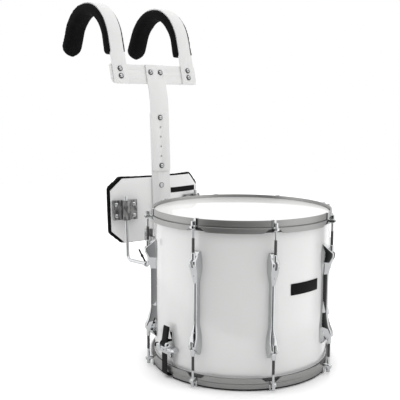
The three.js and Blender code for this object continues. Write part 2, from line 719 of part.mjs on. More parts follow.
function addSnareWork(parent) {
  const badgeSeat = atAzimuth(parent, BADGE_AZIMUTH);
  place(badgeSeat, "badge", badge(), BLACK_METAL);
  const strainerSeat = frame(atAzimuth(parent, -90), SEAT_RADIUS, 0, STRAINER_MIDDLE);
  place(strainerSeat, "strainer_body", strainerBody(), CHROME);
  const hinge = frame(strainerSeat, STRAINER_PLATE + LEVER_PIVOT_OUT, 0, LEVER_PIVOT_RISE);
  place(hinge, "strainer_lever", strainerLever(), BLACK_PLASTIC);
  const knobOut = STRAINER_PLATE + CROSSPIECE_DEPTH / 2;
  const knobSeat = frame(strainerSeat, knobOut, -CROSSPIECE_BACK - FIT_GAP, 0);
  place(knobSeat, "strainer_knob", strainerKnob(), BLACK_PLASTIC);
  const buttSeat = frame(atAzimuth(parent, 90), SEAT_RADIUS, 0, STRAINER_MIDDLE);
  place(buttSeat, "butt_plate", buttPlate(), CHROME);
  place(parent, "snare_wires", snareWires(), STEEL);
}

// Carrier

const lean = radians(CARRIER_LEAN);
const headTurn = radians(HEAD_LEAN - CARRIER_LEAN);
const crossbarTop = CROSSBAR_BOTTOM + CROSSBAR_HEIGHT;

// A rectangle with two round corners at its foot and two at its top.
function rounded(width, bottom, top, footRadius, topRadius) {
  const half = width / 2;
  const shape = new THREE.Shape();
  shape.moveTo(footRadius - half, bottom);
  shape.lineTo(half - footRadius, bottom);
  shape.absarc(half - footRadius, bottom + footRadius, footRadius, -Math.PI / 2, 0, false);
  shape.lineTo(half, top - topRadius);
  shape.absarc(half - topRadius, top - topRadius, topRadius, 0, Math.PI / 2, false);
  shape.lineTo(topRadius - half, top);
  shape.absarc(topRadius - half, top - topRadius, topRadius, Math.PI / 2, Math.PI, false);
  shape.lineTo(-half, bottom + footRadius);
  shape.absarc(footRadius - half, bottom + footRadius, footRadius, Math.PI, 1.5 * Math.PI, false);
  return shape;
}

// A drill through the carrier's sheets, at a place across and up.
function drill(radius, x, z) {
  const depth = 2 * SHEET + FIT_GAP + CUT_OVERRUN;
  return backwardBar(radius, -CUT_OVERRUN, depth).translate(x, 0, z);
}

// A bolt through two sheets, its seat at the front face.
function bolt() {
  const grip = 2 * SHEET + FIT_GAP;
  const tail = grip + FIT_GAP + NUT_HEIGHT;
  const crown = BOLT_HEAD_RADIUS * BOLT_CROWN_SHARE;
  const rim = BOLT_HEAD_HEIGHT * BOLT_RIM_SHARE;
  const profile = [
    [0, -tail - BOLT_TAIL],
    [BOLT_RADIUS, -tail - BOLT_TAIL],
    [BOLT_RADIUS, FIT_GAP],
    [BOLT_HEAD_RADIUS, FIT_GAP],
    [BOLT_HEAD_RADIUS, FIT_GAP + rim],
    [crown, FIT_GAP + BOLT_HEAD_HEIGHT],
    [0, FIT_GAP + BOLT_HEAD_HEIGHT],
  ];
  const points = profile.map(([r, h]) => new THREE.Vector2(r, h));
  const pin = new THREE.LatheGeometry(points, ROD_FACETS).rotateX(Math.PI);
  return joined(pin, backwardBar(NUT_RADIUS, grip + FIT_GAP, tail, NUT_SIDES));
}

const stemHoles = Array.from(
  { length: STEM_HOLE_COUNT },
  (_, i) => STEM_HOLE_FIRST + i * STEM_HOLE_PITCH,
);
const boltedHoles = [stemHoles[0], stemHoles[STEM_HOLE_COUNT - 1]];

// The stem that bears the crossbar: upright along the carrier's lean, then bent back to the head's.
function upperStem() {
  const bend = (BEND_LEVEL - CARRIER_LEVEL) / Math.cos(lean);
  const tangent = STEM_BEND_RADIUS * Math.tan(headTurn / 2);
  const level = bend - tangent;
  const rest = crossbarTop - tangent;
  const end = Math.PI - headTurn;
  const along = [Math.sin(headTurn), Math.cos(headTurn)];
  const inner = STEM_BEND_RADIUS - SHEET;
  const side = new THREE.Shape();
  const at = (radius, reach) => [
    STEM_BEND_RADIUS + radius * Math.cos(end) + reach * along[0],
    level + radius * Math.sin(end) + reach * along[1],
  ];
  side.moveTo(SHEET, UPPER_STEM_BOTTOM);
  side.lineTo(SHEET, level);
  side.absarc(STEM_BEND_RADIUS, level, inner, Math.PI, end, true);
  side.lineTo(...at(inner, rest));
  side.lineTo(...at(STEM_BEND_RADIUS, rest));
  side.lineTo(...at(STEM_BEND_RADIUS, 0));
  side.absarc(STEM_BEND_RADIUS, level, STEM_BEND_RADIUS, end, Math.PI, false);
  side.lineTo(0, UPPER_STEM_BOTTOM);
  const band = sideSlab(side, STEM_WIDTH + CUT_OVERRUN);
  const top = bend + crossbarTop + CUT_OVERRUN;
  const front = rounded(STEM_WIDTH, UPPER_STEM_BOTTOM, top, STEM_CORNER, CUT_OVERRUN);
  const reach = crossbarTop + STEM_WIDTH;
  const blank = common(band, panel(front, 2 * reach).translate(0, -reach, 0));
  const bolts = boltedHoles.map((z) => drill(HOLE_RADIUS, 0, z));
  const spare = stemHoles.slice(1, -1).map((z) => drill(STEM_HOLE_RADIUS, 0, z));
  const centre = [1, -1].map((hand) => {
    const tool = drill(HOLE_RADIUS, (hand * CENTRE_BOLT_SPACING) / 2, CENTRE_BOLT_LEVEL);
    return tool.rotateX(-headTurn).translate(0, 0, bend);
  });
  return cut(blank, ...bolts, ...spare, ...centre);
}

// The stem that bears the belly plate, with the rivet that holds them together.
function lowerStem() {
  const front = SHEET + FIT_GAP;
  const shape = rounded(STEM_WIDTH, LOWER_STEM_BOTTOM, LOWER_STEM_TOP, STEM_CORNER, STEM_CORNER);
  const bolts = boltedHoles.map((z) => drill(HOLE_RADIUS, 0, z));
  const bar = cut(panel(shape, SHEET).translate(0, front, 0), ...bolts);
  const tail = front + 2 * SHEET + FIT_GAP;
  const cap = backwardBar(RIVET_RADIUS, front - RIVET_HEIGHT, front + WELD);
  const shank = backwardBar(RIVET_SHANK_RADIUS, front, tail);
  return joined(bar, cap.translate(0, 0, RIVET_LEVEL), shank.translate(0, 0, RIVET_LEVEL));
}

const bellyFront = 2 * (SHEET + FIT_GAP);
const bellyCentre = bellyFront + BELLY_RADIUS;

// An octagon bent round the player's belly, from its outer radius in.
function bellyForm(outerRadius, thickness, sideRim, topRim, bottomRim) {
  const half = BELLY_WIDTH / BELLY_RADIUS / 2 + sideRim / outerRadius;
  const bottom = BELLY_BOTTOM - bottomRim;
  const top = BELLY_BOTTOM + BELLY_HEIGHT + topRim;
  const start = -Math.PI / 2 - half;
  const end = -Math.PI / 2 + half;
  const plan = new THREE.Shape();
  plan.absarc(0, bellyCentre, outerRadius, start, end, false);
  plan.absarc(0, bellyCentre, outerRadius - thickness, end, start, true);
  const band = column(plan, top - bottom, ARC_STEPS).translate(0, 0, bottom);
  const wide = outerRadius * Math.sin(half);
  const flat = wide - BELLY_CORNER - CUT_OVERRUN;
  const side = BELLY_CORNER + CUT_OVERRUN;
  const octagon = outline([
    [-flat, bottom - CUT_OVERRUN],
    [flat, bottom - CUT_OVERRUN],
    [wide + CUT_OVERRUN, bottom + side],
    [wide + CUT_OVERRUN, top - side],
    [flat, top + CUT_OVERRUN],
    [-flat, top + CUT_OVERRUN],
    [-wide - CUT_OVERRUN, top - side],
    [-wide - CUT_OVERRUN, bottom + side],
  ]);
  return common(band, panel(octagon, BELLY_WIDTH));
}

function bellyPlate() {
  const hole = backwardBar(RIVET_SHANK_RADIUS + FIT_GAP, 0, bellyFront + SHEET + CUT_OVERRUN);
  return cut(bellyForm(BELLY_RADIUS, SHEET, 0, 0, 0), hole.translate(0, 0, RIVET_LEVEL));
}

function bellyPad() {
  const radius = BELLY_RADIUS - SHEET - FIT_GAP;
  return bellyForm(radius, BELLY_PAD, BELLY_PAD_SIDE_RIM, BELLY_PAD_TOP_RIM, BELLY_PAD_BOTTOM_RIM);
}

function crossbar() {
  const shape = rounded(
    CROSSBAR_WIDTH, CROSSBAR_BOTTOM, crossbarTop, CROSSBAR_CORNER, CROSSBAR_TOP_CORNER,
  );
  const bar = panel(shape, SHEET, CROSSBAR_STEPS).translate(0, SHEET + FIT_GAP, 0);
  return cut(bar, ...crossbarBolts.map(([, x, z]) => drill(HOLE_RADIUS, x, z)));
}

const crossbarBolts = [1, -1].flatMap((hand) => {
  const name = hand > 0 ? "right" : "left";
  const out = (hand * HOOK_SPACING) / 2;
  return [
    [`hook_bolt_${name}_upper`, out, HOOK_BOLT_TOP],
    [`hook_bolt_${name}_lower`, out, HOOK_BOLT_LEVEL],
    [`centre_bolt_${name}`, (hand * CENTRE_BOLT_SPACING) / 2, CENTRE_BOLT_LEVEL],
  ];
});

// The line of a shoulder hook's outer face, as back and up from the bend: where it is at a length
// along it, and which way leads in towards the shoulder.
const apexAngle = Math.PI / 2 + radians(HEAD_LEAN);
const rearAngle = radians(HEAD_LEAN + HOOK_REAR_DROP);
const frontArc = HOOK_FRONT_RADIUS * (Math.PI - apexAngle);
const rearArc = HOOK_REAR_RADIUS * (apexAngle - rearAngle);
const archEnd = HOOK_ARCH_START + frontArc + rearArc;

function archAt(length) {
  const shift = HOOK_FRONT_RADIUS - HOOK_REAR_RADIUS;
  const rearY = HOOK_FRONT_RADIUS + shift * Math.cos(apexAngle);
  const rearZ = HOOK_ARCH_START + shift * Math.sin(apexAngle);
  if (length <= HOOK_ARCH_START) return { y: 0, z: length, angle: Math.PI };
  if (length <= HOOK_ARCH_START + frontArc) {
    const angle = Math.PI - (length - HOOK_ARCH_START) / HOOK_FRONT_RADIUS;
    const y = HOOK_FRONT_RADIUS * (1 + Math.cos(angle));
    return { y, z: HOOK_ARCH_START + HOOK_FRONT_RADIUS * Math.sin(angle), angle };
  }
  const past = Math.min(length, archEnd) - HOOK_ARCH_START - frontArc;
  const angle = apexAngle - past / HOOK_REAR_RADIUS;
  const leg = Math.max(length - archEnd, 0);
  const y = rearY + HOOK_REAR_RADIUS * Math.cos(angle) + leg * Math.sin(angle);
  const z = rearZ + HOOK_REAR_RADIUS * Math.sin(angle) - leg * Math.cos(angle);
  return { y, z, angle };
}

// A point at a length along the arch and a depth inside its outer face.
function inArch(length, depth) {
  const { y, z, angle } = archAt(length);
  return [y - depth * Math.cos(angle), z - depth * Math.sin(angle)];
}

// Lengths along the arch from one end to another, closer together where it curves.
function archLengths(start, end, steps) {
  const curve = Array.from(
    { length: steps + 1 },
    (_, i) => HOOK_ARCH_START + ((frontArc + rearArc) * i) / steps,
  );
  return [start, ...curve, end];
}

function shoulderStrap() {
  const depth = 2 * HOOK_FRONT_RADIUS + CUT_OVERRUN;
  const top = HOOK_ARCH_START + HOOK_FRONT_RADIUS + CUT_OVERRUN;
  const trims = [1, -1].map((hand) => {
    const near = (hand * HOOK_NECK_WIDTH) / 2;
    const far = hand * (HOOK_WIDTH / 2 + CUT_OVERRUN);
    const side = outline([
      [near, SHOULDER_PAD_START],
      [far, SHOULDER_PAD_START - HOOK_NECK_TAPER],
      [far, top],
      [near, top],
    ]);
    return panel(side, depth + CUT_OVERRUN).translate(0, -CUT_OVERRUN, 0);
  });
  const lengths = archLengths(CROSSBAR_BOTTOM, archEnd + HOOK_REAR_LEG, PAD_STEPS);
  const outer = lengths.map((length) => inArch(length, 0));
  const inner = lengths.map((length) => inArch(length, SHEET)).reverse();
  const band = sideSlab(outline([...outer, ...inner]), HOOK_WIDTH);
  return cut(
    band,
    drill(HOLE_RADIUS, 0, HOOK_BOLT_LEVEL),
    drill(HOLE_RADIUS, 0, HOOK_BOLT_TOP),
    ...trims,
  );
}

// A closed surface over rings of points, each ring as many points round.
function skin(rings) {
  const round = rings[0].length;
  const middle = (ring) => ring.reduce((sum, p) => sum.add(p), new THREE.Vector3()).divideScalar(round);
  const points = [...rings.flat(), middle(rings[0]), middle(rings[rings.length - 1])];
  const faces = [];
  rings.slice(1).forEach((_, r) => {
    for (let i = 0; i < round; i += 1) {
      const a = r * round + i;
      const b = r * round + ((i + 1) % round);
      faces.push(a, b, a + round, b, b + round, a + round);
    }
  });
  const last = (rings.length - 1) * round;
  for (let i = 0; i < round; i += 1) {
    const next = (i + 1) % round;
    faces.push(rings.length * round, next, i);
    faces.push(rings.length * round + 1, last + i, last + next);
  }
  const geometry = new THREE.BufferGeometry().setFromPoints(points);
  geometry.setIndex(faces);
  geometry.computeVertexNormals();
  return geometry;
}

// The foam under a hook: flat against the strap, round at its edges, crowned towards the shoulder,
// square at its front end and round at its rear end.
function shoulderPad() {
  const half = SHOULDER_PAD_WIDTH / 2;
  const tail = archEnd + SHOULDER_PAD_TAIL;
  const body = archLengths(SHOULDER_PAD_START, tail - half, PAD_STEPS);
  const tip = PAD_TIP_SHARES.map((share) => tail - half + half * share);
  const edge = SHEET + FIT_GAP;
  const rings = [...body, ...tip].map((length) => {
    const over = Math.max(length - (tail - half), 0);
    const wide = Math.sqrt(half * half - over * over);
    const corner = Math.min(PAD_CORNER, wide / 2);
    const back = Math.min(PAD_BACK_CORNER, wide / 2);
    const thick = SHOULDER_PAD - PAD_CROWN;
    const section = [
      [wide - back, 0],
      [wide, back],
      [wide, thick - corner],
      [wide - corner, thick],
      [wide / 2, thick + PAD_CROWN * PAD_CROWN_SHARE],
      [0, SHOULDER_PAD],
      [-wide / 2, thick + PAD_CROWN * PAD_CROWN_SHARE],
      [corner - wide, thick],
      [-wide, thick - corner],
      [-wide, back],
      [back - wide, 0],
    ];
    return section.map(([x, depth]) => new THREE.Vector3(x, ...inArch(length, edge + depth)));
  });
  return skin(rings);
}

// J rods

// Lines through corners, each corner rounded to its own radius, as a path of back and up.
function bentPath(corners, radii) {
  const path = new THREE.Path();
  path.moveTo(corners[0].x, corners[0].y);
  corners.slice(1, -1).forEach((corner, i) => {
    const into = corner.clone().sub(corners[i]).normalize();
    const out = corners[i + 2].clone().sub(corner).normalize();
    const turn = Math.atan2(into.cross(out), into.dot(out));
    const hand = Math.sign(turn);
    const radius = radii[i];
    const reach = radius * Math.tan(Math.abs(turn) / 2);
    const start = corner.clone().addScaledVector(into, -reach);
    const centre = start.clone().add(new THREE.Vector2(-into.y, into.x).multiplyScalar(hand * radius));
    const from = start.clone().sub(centre).angle();
    path.lineTo(start.x, start.y);
    path.absarc(centre.x, centre.y, radius, from, from + turn, turn < 0);
  });
  const last = corners[corners.length - 1];
  path.lineTo(last.x, last.y);
  return path;
}

// A path of back and up as a curve in space.
class UprightCurve extends THREE.Curve {
  constructor(path) {
    super();
    this.path = path;
  }

  getPoint(t, target = new THREE.Vector3()) {
    const point = this.path.getPointAt(t);
    return target.set(0, point.x, point.y);
  }
}

// The long leg's centre line, at a length along the lean.
const legAt = (length) =>
  new THREE.Vector2(
    CARRIER_FRONT + J_ROD_BEHIND * Math.cos(lean) + length * Math.sin(lean),
    CARRIER_LEVEL - J_ROD_BEHIND * Math.sin(lean) + length * Math.cos(lean),
  );
const legFoot = legAt((J_ROD_RUN_LEVEL - legAt(0).y) / Math.cos(lean));
const runFront = new THREE.Vector2(J_ROD_SHORT_LEG, J_ROD_RUN_LEVEL + J_ROD_RUN_RISE);

function jRod() {
  const top = new THREE.Vector2(J_ROD_SHORT_LEG, RECEIVER_TOP + RECEIVER_STUB);
  const path = bentPath([top, runFront, legFoot, legAt(J_ROD_TOP)], [J_ROD_FRONT_BEND, J_ROD_BEND]);
  const round = Array.from({ length: J_ROD_SIDES }, (_, i) => {
    const angle = (2 * Math.PI * i) / J_ROD_SIDES;
    return [J_ROD_RADIUS * Math.cos(angle), J_ROD_RADIUS * Math.sin(angle)];
  });
  const extrudePath = new UprightCurve(path);
  return new THREE.ExtrudeGeometry(outline(round), { steps: J_ROD_STEPS, extrudePath });
}

// The clamp on one wing of the belly plate, its back at Y = 0 and the rod in its block.
function rodClamp(rodOut) {
  const base = FIT_GAP + CLAMP_BASE;
  const block = rodOut + J_ROD_RADIUS + FIT_GAP + CLAMP_BLOCK_COVER;
  const wide = CLAMP_WIDTH / 2;
  const narrow = CLAMP_BLOCK_WIDTH / 2;
  const plan = outline([
    [-wide, -FIT_GAP],
    [-wide, CLAMP_CORNER - base],
    [CLAMP_CORNER - wide, -base],
    [-narrow, -base],
    [-narrow, CLAMP_CORNER - block],
    [CLAMP_CORNER - narrow, -block],
    [narrow - CLAMP_CORNER, -block],
    [narrow, CLAMP_CORNER - block],
    [narrow, -base],
    [wide - CLAMP_CORNER, -base],
    [wide, CLAMP_CORNER - base],
    [wide, -FIT_GAP],
  ]);
  const bore = new THREE.Path();
  bore.absarc(0, -rodOut, J_ROD_RADIUS + FIT_GAP, 0, 2 * Math.PI, false);
  plan.holes.push(bore);
  return column(plan, CLAMP_HEIGHT, ARC_STEPS);
}

// A receiver: a base on the shell, an arm back from it, and the block that the short leg enters.
function receiver(hand) {
  const middle = (hand * J_ROD_SPACING) / 2;
  const bottom = RECEIVER_TOP - RECEIVER_HEIGHT;
  const turn = Math.asin((J_ROD_SPACING / 2 - RECEIVER_BASE_INSET) / SEAT_RADIUS);
  const baseBottom = bottom + (RECEIVER_ARM_HEIGHT - RECEIVER_BASE_HEIGHT) / 2;
  const wide = RECEIVER_BASE_WIDTH / 2;
  const base = box(
    -wide, wide, SEAT_RADIUS, SEAT_RADIUS + RECEIVER_BASE, baseBottom, baseBottom + RECEIVER_BASE_HEIGHT,
  );
  base.rotateZ(-hand * turn);
  const inBase = SEAT_RADIUS + RECEIVER_BASE / 2;
  const armFrom = (x) => (inBase - Math.abs(x) * Math.sin(turn)) / Math.cos(turn);
  const left = middle - RECEIVER_ARM_WIDTH / 2;
  const right = middle + RECEIVER_ARM_WIDTH / 2;
  const plan = outline([
    [left, armFrom(left)],
    [right, armFrom(right)],
    [right, J_ROD_SHORT_LEG],
    [left, J_ROD_SHORT_LEG],
  ]);
  const arm = column(plan, RECEIVER_ARM_HEIGHT).translate(0, 0, bottom);
  const half = RECEIVER_BLOCK / 2;
  const block = box(
    middle - half, middle + half, J_ROD_SHORT_LEG - half, J_ROD_SHORT_LEG + half, bottom, RECEIVER_TOP,
  );
  const bore = uprightBar(J_ROD_RADIUS + FIT_GAP, bottom - CUT_OVERRUN, RECEIVER_TOP + CUT_OVERRUN);
  return cut(joined(base, arm, block), bore.translate(middle, J_ROD_SHORT_LEG, 0));
}

// A latch: a ring on the rod's run and a lever that rises from it and leans back.
function latch() {
  const bore = J_ROD_RADIUS + LATCH_CLEAR;
  const outer = bore + LATCH_WALL;
  const half = LATCH_LENGTH / 2;
  const lever = uprightBar(LATCH_LEVER_RADIUS, bore + LATCH_WALL / 2, outer + LATCH_LEVER);
  const middle = outer + LATCH_LEVER * LATCH_COLLAR_SHARE;
  const collarHalf = LATCH_COLLAR_LENGTH / 2;
  const collar = uprightBar(LATCH_COLLAR_RADIUS, middle - collarHalf, middle + collarHalf);
  const arm = joined(lever, collar).rotateX(-radians(LATCH_TILT));
  const ring = backwardBar(outer, -half, half, 2 * J_ROD_SIDES);
  return cut(joined(ring, arm), backwardBar(bore, -half - outer, half + outer));
}

function addRods(parent) {
  [1, -1].forEach((hand) => {
    const name = hand > 0 ? "right" : "left";
    const out = (hand * J_ROD_SPACING) / 2;
    place(parent, `receiver_${name}`, receiver(hand), CHROME);
    place(frame(parent, out, 0, 0), `j_rod_${name}`, jRod(), CHROME);
    const slope = (legFoot.y - runFront.y) / (legFoot.x - runFront.x);
    const level = runFront.y + LATCH_SETBACK * slope;
    const run = frame(parent, out, J_ROD_SHORT_LEG + LATCH_SETBACK, level, Math.atan(slope));
    place(run, `latch_${name}`, latch(), BLACK_METAL);
  });
}

function addCarrier(parent) {
  const body = frame(parent, 0, CARRIER_FRONT, CARRIER_LEVEL, -lean);
  place(body, "upper_stem", upperStem(), WHITE_COAT);
  place(body, "lower_stem", lowerStem(), WHITE_COAT);
  place(body, "belly_plate", bellyPlate(), WHITE_COAT);
  place(body, "belly_pad", bellyPad(), FOAM);
  place(frame(body, 0, 0, boltedHoles[1]), "stem_bolt_upper", bolt(), STEEL);
  place(frame(body, 0, 0, boltedHoles[0]), "stem_bolt_lower", bolt(), STEEL);
  const rodX = J_ROD_SPACING / 2;
  const rodY = bellyCentre - J_ROD_BEHIND;
  const rodOut = Math.hypot(rodX, rodY) - BELLY_RADIUS;
  const wing = Math.atan2(rodX, rodY);
  [1, -1].forEach((hand) => {
    const x = hand * BELLY_RADIUS * Math.sin(wing);
    const y = bellyCentre - BELLY_RADIUS * Math.cos(wing);
    const seat = frame(body, x, y, CLAMP_BOTTOM, 0, hand * wing);
    place(seat, `rod_clamp_${hand > 0 ? "right" : "left"}`, rodClamp(rodOut), CHROME);
  });

  const bendBehind = CARRIER_FRONT + (BEND_LEVEL - CARRIER_LEVEL) * Math.tan(lean);
  const top = frame(parent, 0, bendBehind, BEND_LEVEL, -radians(HEAD_LEAN));
  place(top, "crossbar", crossbar(), WHITE_COAT);
  crossbarBolts.forEach(([name, x, z]) => place(frame(top, x, 0, z), name, bolt(), STEEL));
  [1, -1].forEach((hand) => {
    const name = hand > 0 ? "right" : "left";
    const shoulder = frame(top, (hand * HOOK_SPACING) / 2, 0, 0);
    place(shoulder, `shoulder_strap_${name}`, shoulderStrap(), WHITE_COAT);
    place(shoulder, `shoulder_pad_${name}`, shoulderPad(), FOAM);
  });
}

addDrum(part);
addSnareWork(part);
addRods(part);
addCarrier(part);

// The origin lies on the floor, under the middle of the part's outer box.
part.updateMatrixWorld(true);
const bounds = new THREE.Box3().setFromObject(part, true);
part.position.set(
  -(bounds.min.x + bounds.max.x) / 2,
  -(bounds.min.y + bounds.max.y) / 2,
  -bounds.min.z,
);

export default part;
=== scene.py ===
# The looks of a marching snare drum with its shoulder carrier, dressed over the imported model.
from math import atan, atan2, cos, pi, radians, sin, tan

import bmesh
import bpy
from bmesh.types import BMEdge, BMVert
from mathutils import Matrix, Vector
from mathutils.bvhtree import BVHTree


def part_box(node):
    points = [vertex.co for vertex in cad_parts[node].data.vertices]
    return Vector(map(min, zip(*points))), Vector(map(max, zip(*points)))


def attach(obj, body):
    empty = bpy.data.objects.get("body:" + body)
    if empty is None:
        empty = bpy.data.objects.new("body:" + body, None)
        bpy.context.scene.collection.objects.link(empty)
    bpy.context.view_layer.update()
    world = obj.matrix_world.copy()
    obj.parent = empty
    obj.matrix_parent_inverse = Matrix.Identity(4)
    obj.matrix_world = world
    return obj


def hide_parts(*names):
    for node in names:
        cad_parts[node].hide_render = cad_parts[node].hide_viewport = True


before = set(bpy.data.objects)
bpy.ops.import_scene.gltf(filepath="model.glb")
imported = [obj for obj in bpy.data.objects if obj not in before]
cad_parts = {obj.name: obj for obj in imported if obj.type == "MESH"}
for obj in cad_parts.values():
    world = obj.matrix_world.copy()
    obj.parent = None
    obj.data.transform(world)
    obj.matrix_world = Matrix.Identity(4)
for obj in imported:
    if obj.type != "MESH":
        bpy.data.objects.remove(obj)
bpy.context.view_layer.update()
scene = bpy.context.scene
ops = bmesh.ops

# Sizes are in millimetres in the drum's own frame, with its axis upright and the floor at 0.
MM = 0.001
FIT_GAP = 0.3
CUT_OVERRUN = 2
WELD = 0.2
SHARP_ANGLE = 32  # degrees, above which an edge shows as an edge
CASTING_ANGLE = 40  # degrees, above which a casting's edge is rounded
SHEET_ANGLE = 50
BAR_ANGLE = 60
THIN_ROUND = 0.25
EASE = 0.3  # of a round bar's ends
OVERLAP = 1  # of one form set into another
ROUND_SIDES = 28
SMALL_SIDES = 16

# Drum
DRUM_STEPS = 256
SHELL_RADIUS = 177.8
SHELL_HEIGHT = 304.8
SHELL_WALL = 6
BEARING_BEVEL = 1.5
BEARING_SLOPE = 3.2
HEAD_FILM = 1
HEAD_RECESS = 6
HEAD_BEND = 1.7
FLESH_HOOP_HEIGHT = 5.4
FLESH_HOOP_LAP = 0.1
HOOP_EASE = 1.4
HOOP_WALL = 3
HOOP_LIP = 0.7  # rounding of the hoop's edge
PAINTED_SHADOW_HEIGHT = 3.9  # of the bottom hoop's painted contact shadow, a dark rim above the floor
PAINTED_SHADOW_FADE = 1
TIER_DEPTH = 13.3
GROOVE_HEIGHT = 1.7
GROOVE_DEPTH = 1.6
SKIRT_STEP = 3.5
SKIRT_WALL = 2.7
SKIRT_ROUND = 0.9
HOOP_DEPTH = 23.7
SKIRT_GAP_ROOT = 12
SKIRT_GAP_MOUTH = 40
SKIRT_GAP_ROUND = 5
GATE_WIDTH = 26
GATE_DEPTH = 6.5
BADGE_ROUND = 0.35

# Tension rods, claws and lugs
LUG_COUNT = 8
LUG_HEIGHT = 198
ROD_STANDOFF = 8.3
ROD_RADIUS = 2.8
ROD_IN_LUG = 30
CLAW_WIDTH = 8.5
CLAW_LIP = 1
CLAW_LIP_REACH = 2.4
CLAW_ARM = 3
CLAW_FOOT_DROP = 11.7
CLAW_FOOT_TIP = 4.6
CLAW_FOOT_ROOT = 7
CLAW_FOOT_COVER = 6
CLAW_ROUND = 0.45
WASHER_RADIUS = 5
WASHER_HEIGHT = 1.5
ROD_HEAD_SIDE = 6.4
ROD_HEAD_HEIGHT = 9
ROD_HEAD_ROUND = 0.6
LUG_COVER = 6.2  # outside the rod's centre line
LUG_SLOPE = 16  # height of the sloping end
LUG_WIDTHS = ((0, 10), (41, 10), (63, 19), (83, 19), (99, 13))  # by height from the lug's middle
LUG_FACES = ((0, 6), (41, 6), (63, 14), (99, 14))  # widths of its outer face
LUG_SLOT_WIDTH = 4.4
LUG_SLOT_LENGTH = 28.5  # from the lug's end
LUG_ROUND = 0.6
LUG_EDGE_ROUND = 3.6
LUG_EDGE_STEPS = 8
LUG_FACE_SHARE = 0.9  # of the face's half width, the most that the rounding takes
LUG_DEPTH_SHARE = 0.6  # and of the depth
LUG_SOFTNESS = 4  # reach over which the long lines bend
LUG_SOFT_STEPS = 4
LUG_STEP = 1.5  # between the outlines that it is drawn through
LUG_SCREW_RADIUS = 1.8
LUG_SCREW_HEIGHT = 0.8
LUG_SCREW_RIM = 0.5
LUG_SCREW_EASE = 0.4
LUG_SCREW_LEVEL = 54  # of the set screw, from the lug's middle
LUG_SCREW_OUT = 15.3
LUG_SCREW_TILT = 17.7
BUSHING_RADIUS = 4
BUSHING_HEIGHT = 13
BUSHING_INSET = 0.5
BUSHING_EASE = 0.8
ROD_SHANK_RADIUS = 2.5
ROD_THREAD_ABOVE = 27  # of the rod's thread, past the lug's end
THREAD_PITCH = 1.2
THREAD_DEPTH = 0.35

# Strainer, butt clamp and snare wires
STRAINER_MIDDLE = 57.5
STRAINER_PLATE = 3
STRAINER_ROUND = 0.5
CROSSPIECE_BACK = 24
CROSSPIECE_FRONT = 25
CROSSPIECE_HEIGHT = 12
CROSSPIECE_DEPTH = 15
LEVER_WIDTH = 16
LEVER_THICKNESS = 4
LEVER_LENGTH = 35
LEVER_PIVOT_RISE = 11
LEVER_PIVOT_OUT = 12
LEVER_LEAN = 9
LEVER_BARREL_RADIUS = 4
LEVER_PIN_RADIUS = 2
LEVER_ROUND = 0.5
LEVER_RIBS = 4
LEVER_RIB = 0.5
LEVER_RIB_PITCH = 3
LEVER_RIB_INSET = 1
LEVER_RIB_SIDES = 12
EAR_THICKNESS = 3
KNOB_RADIUS = 5
KNOB_LENGTH = 10
KNOB_SIDES = 48
KNOB_BACK_EASE = 0.5
KNOB_FRONT_EASE = 1
KNOB_STEM_RADIUS = 2.2
KNOB_STEM_LENGTH = 8
KNOB_FLUTES = 12
KNOB_FLUTE_RADIUS = 0.75
KNOB_FLUTE_SIDES = 10
BUTT_DEPTH = 12
BUTT_ROUND = 0.8
BUTT_WIDTH = 42
SNARE_LENGTH = 300
SNARE_WIDTH = 42
SNARE_THICKNESS = 1.2
SNARE_END = 14
WIRE_COUNT = 20
WIRE_RADIUS = 0.62
WIRE_SIDES = 8
WIRE_EASE = 0.05
STRAP_WIDTH = 17
STRAP_THICKNESS = 1.2
STRAP_CLEAR = 5
STRAP_BEND = 6

# Screws that only the looks have
SMALL_SCREW = (2.6, 1.6)  # radius and height
RECEIVER_SCREW = (2.6, 2.4)
CLAMP_SCREW = (4.7, 2.2)
SCREW_SIDES = 24
CROSS_WIDTH = 0.13  # half the cross slot's width, as a share of the screw's radius
CROSS_REACH = 0.62
CROSS_FLOOR = 0.45  # as a share of the screw's height
CROSS_TURN = 0.5
CLAMP_SCREW_OUT = 20.5
CLAMP_SCREW_EDGE = 9.5
RECEIVER_SCREW_DROPS = (5, 19)

# Carrier
CARRIER_FRONT = 281.3
CARRIER_LEVEL = 251.3
CARRIER_LEAN = 2.86
BEND_LEVEL = 536.3
HEAD_LEAN = 15
SHEET = 3
SHEET_ROUND = 0.5
STEM_BOLT_LEVELS = (131, 243.5)
RIVET_LEVEL = 85
RIVET_RADIUS = 5.2
RIVET_HEIGHT = 1.5
RIVET_EASE = 1
RIVET_TOP = 2.7
RIVET_DIMPLE = 2
BELLY_RADIUS = 311
STICKER_SPAN = (5.4, 21.8)  # degrees along the belly plate's curve
STICKER_STEPS = 24
STICKER_LEVEL = 64.2
STICKER_HEIGHT = 12.4
STICKER_THICKNESS = 0.25
STICKER_GAP = 0.1
CENTRE_BOLT_SPACING = 27
CENTRE_BOLT_LEVEL = 65.2
HOOK_SPACING = 190
HOOK_BOLT_LEVEL = 54.9
HOOK_BOLT_PITCH = 17
BOLT_RADIUS = 3.5
BOLT_DOME_RADIUS = 4.6
BOLT_DOME_ANGLE = 55
BOLT_NECK = 1  # straight part of the head
BOLT_EASE = 0.5
BOLT_HEAD_HEIGHT = 4
BOLT_SOCKET_RADIUS = 2
BOLT_SOCKET_DEPTH = 2
NUT_RADIUS = 6.5
NUT_HEIGHT = 5
NUT_ROUND = 0.4
BOLT_TAIL = 1.5
RING_INNER = 4.4  # of the dark ring round a bolt's head, whose darkness is partly painted shade
RING_OUTER = 6.3
RING_LIFT = 0.1
RING_HEIGHT = 1.2
RING_EASE = 0.3
RING_HOLLOW = (0.8, 0.5)

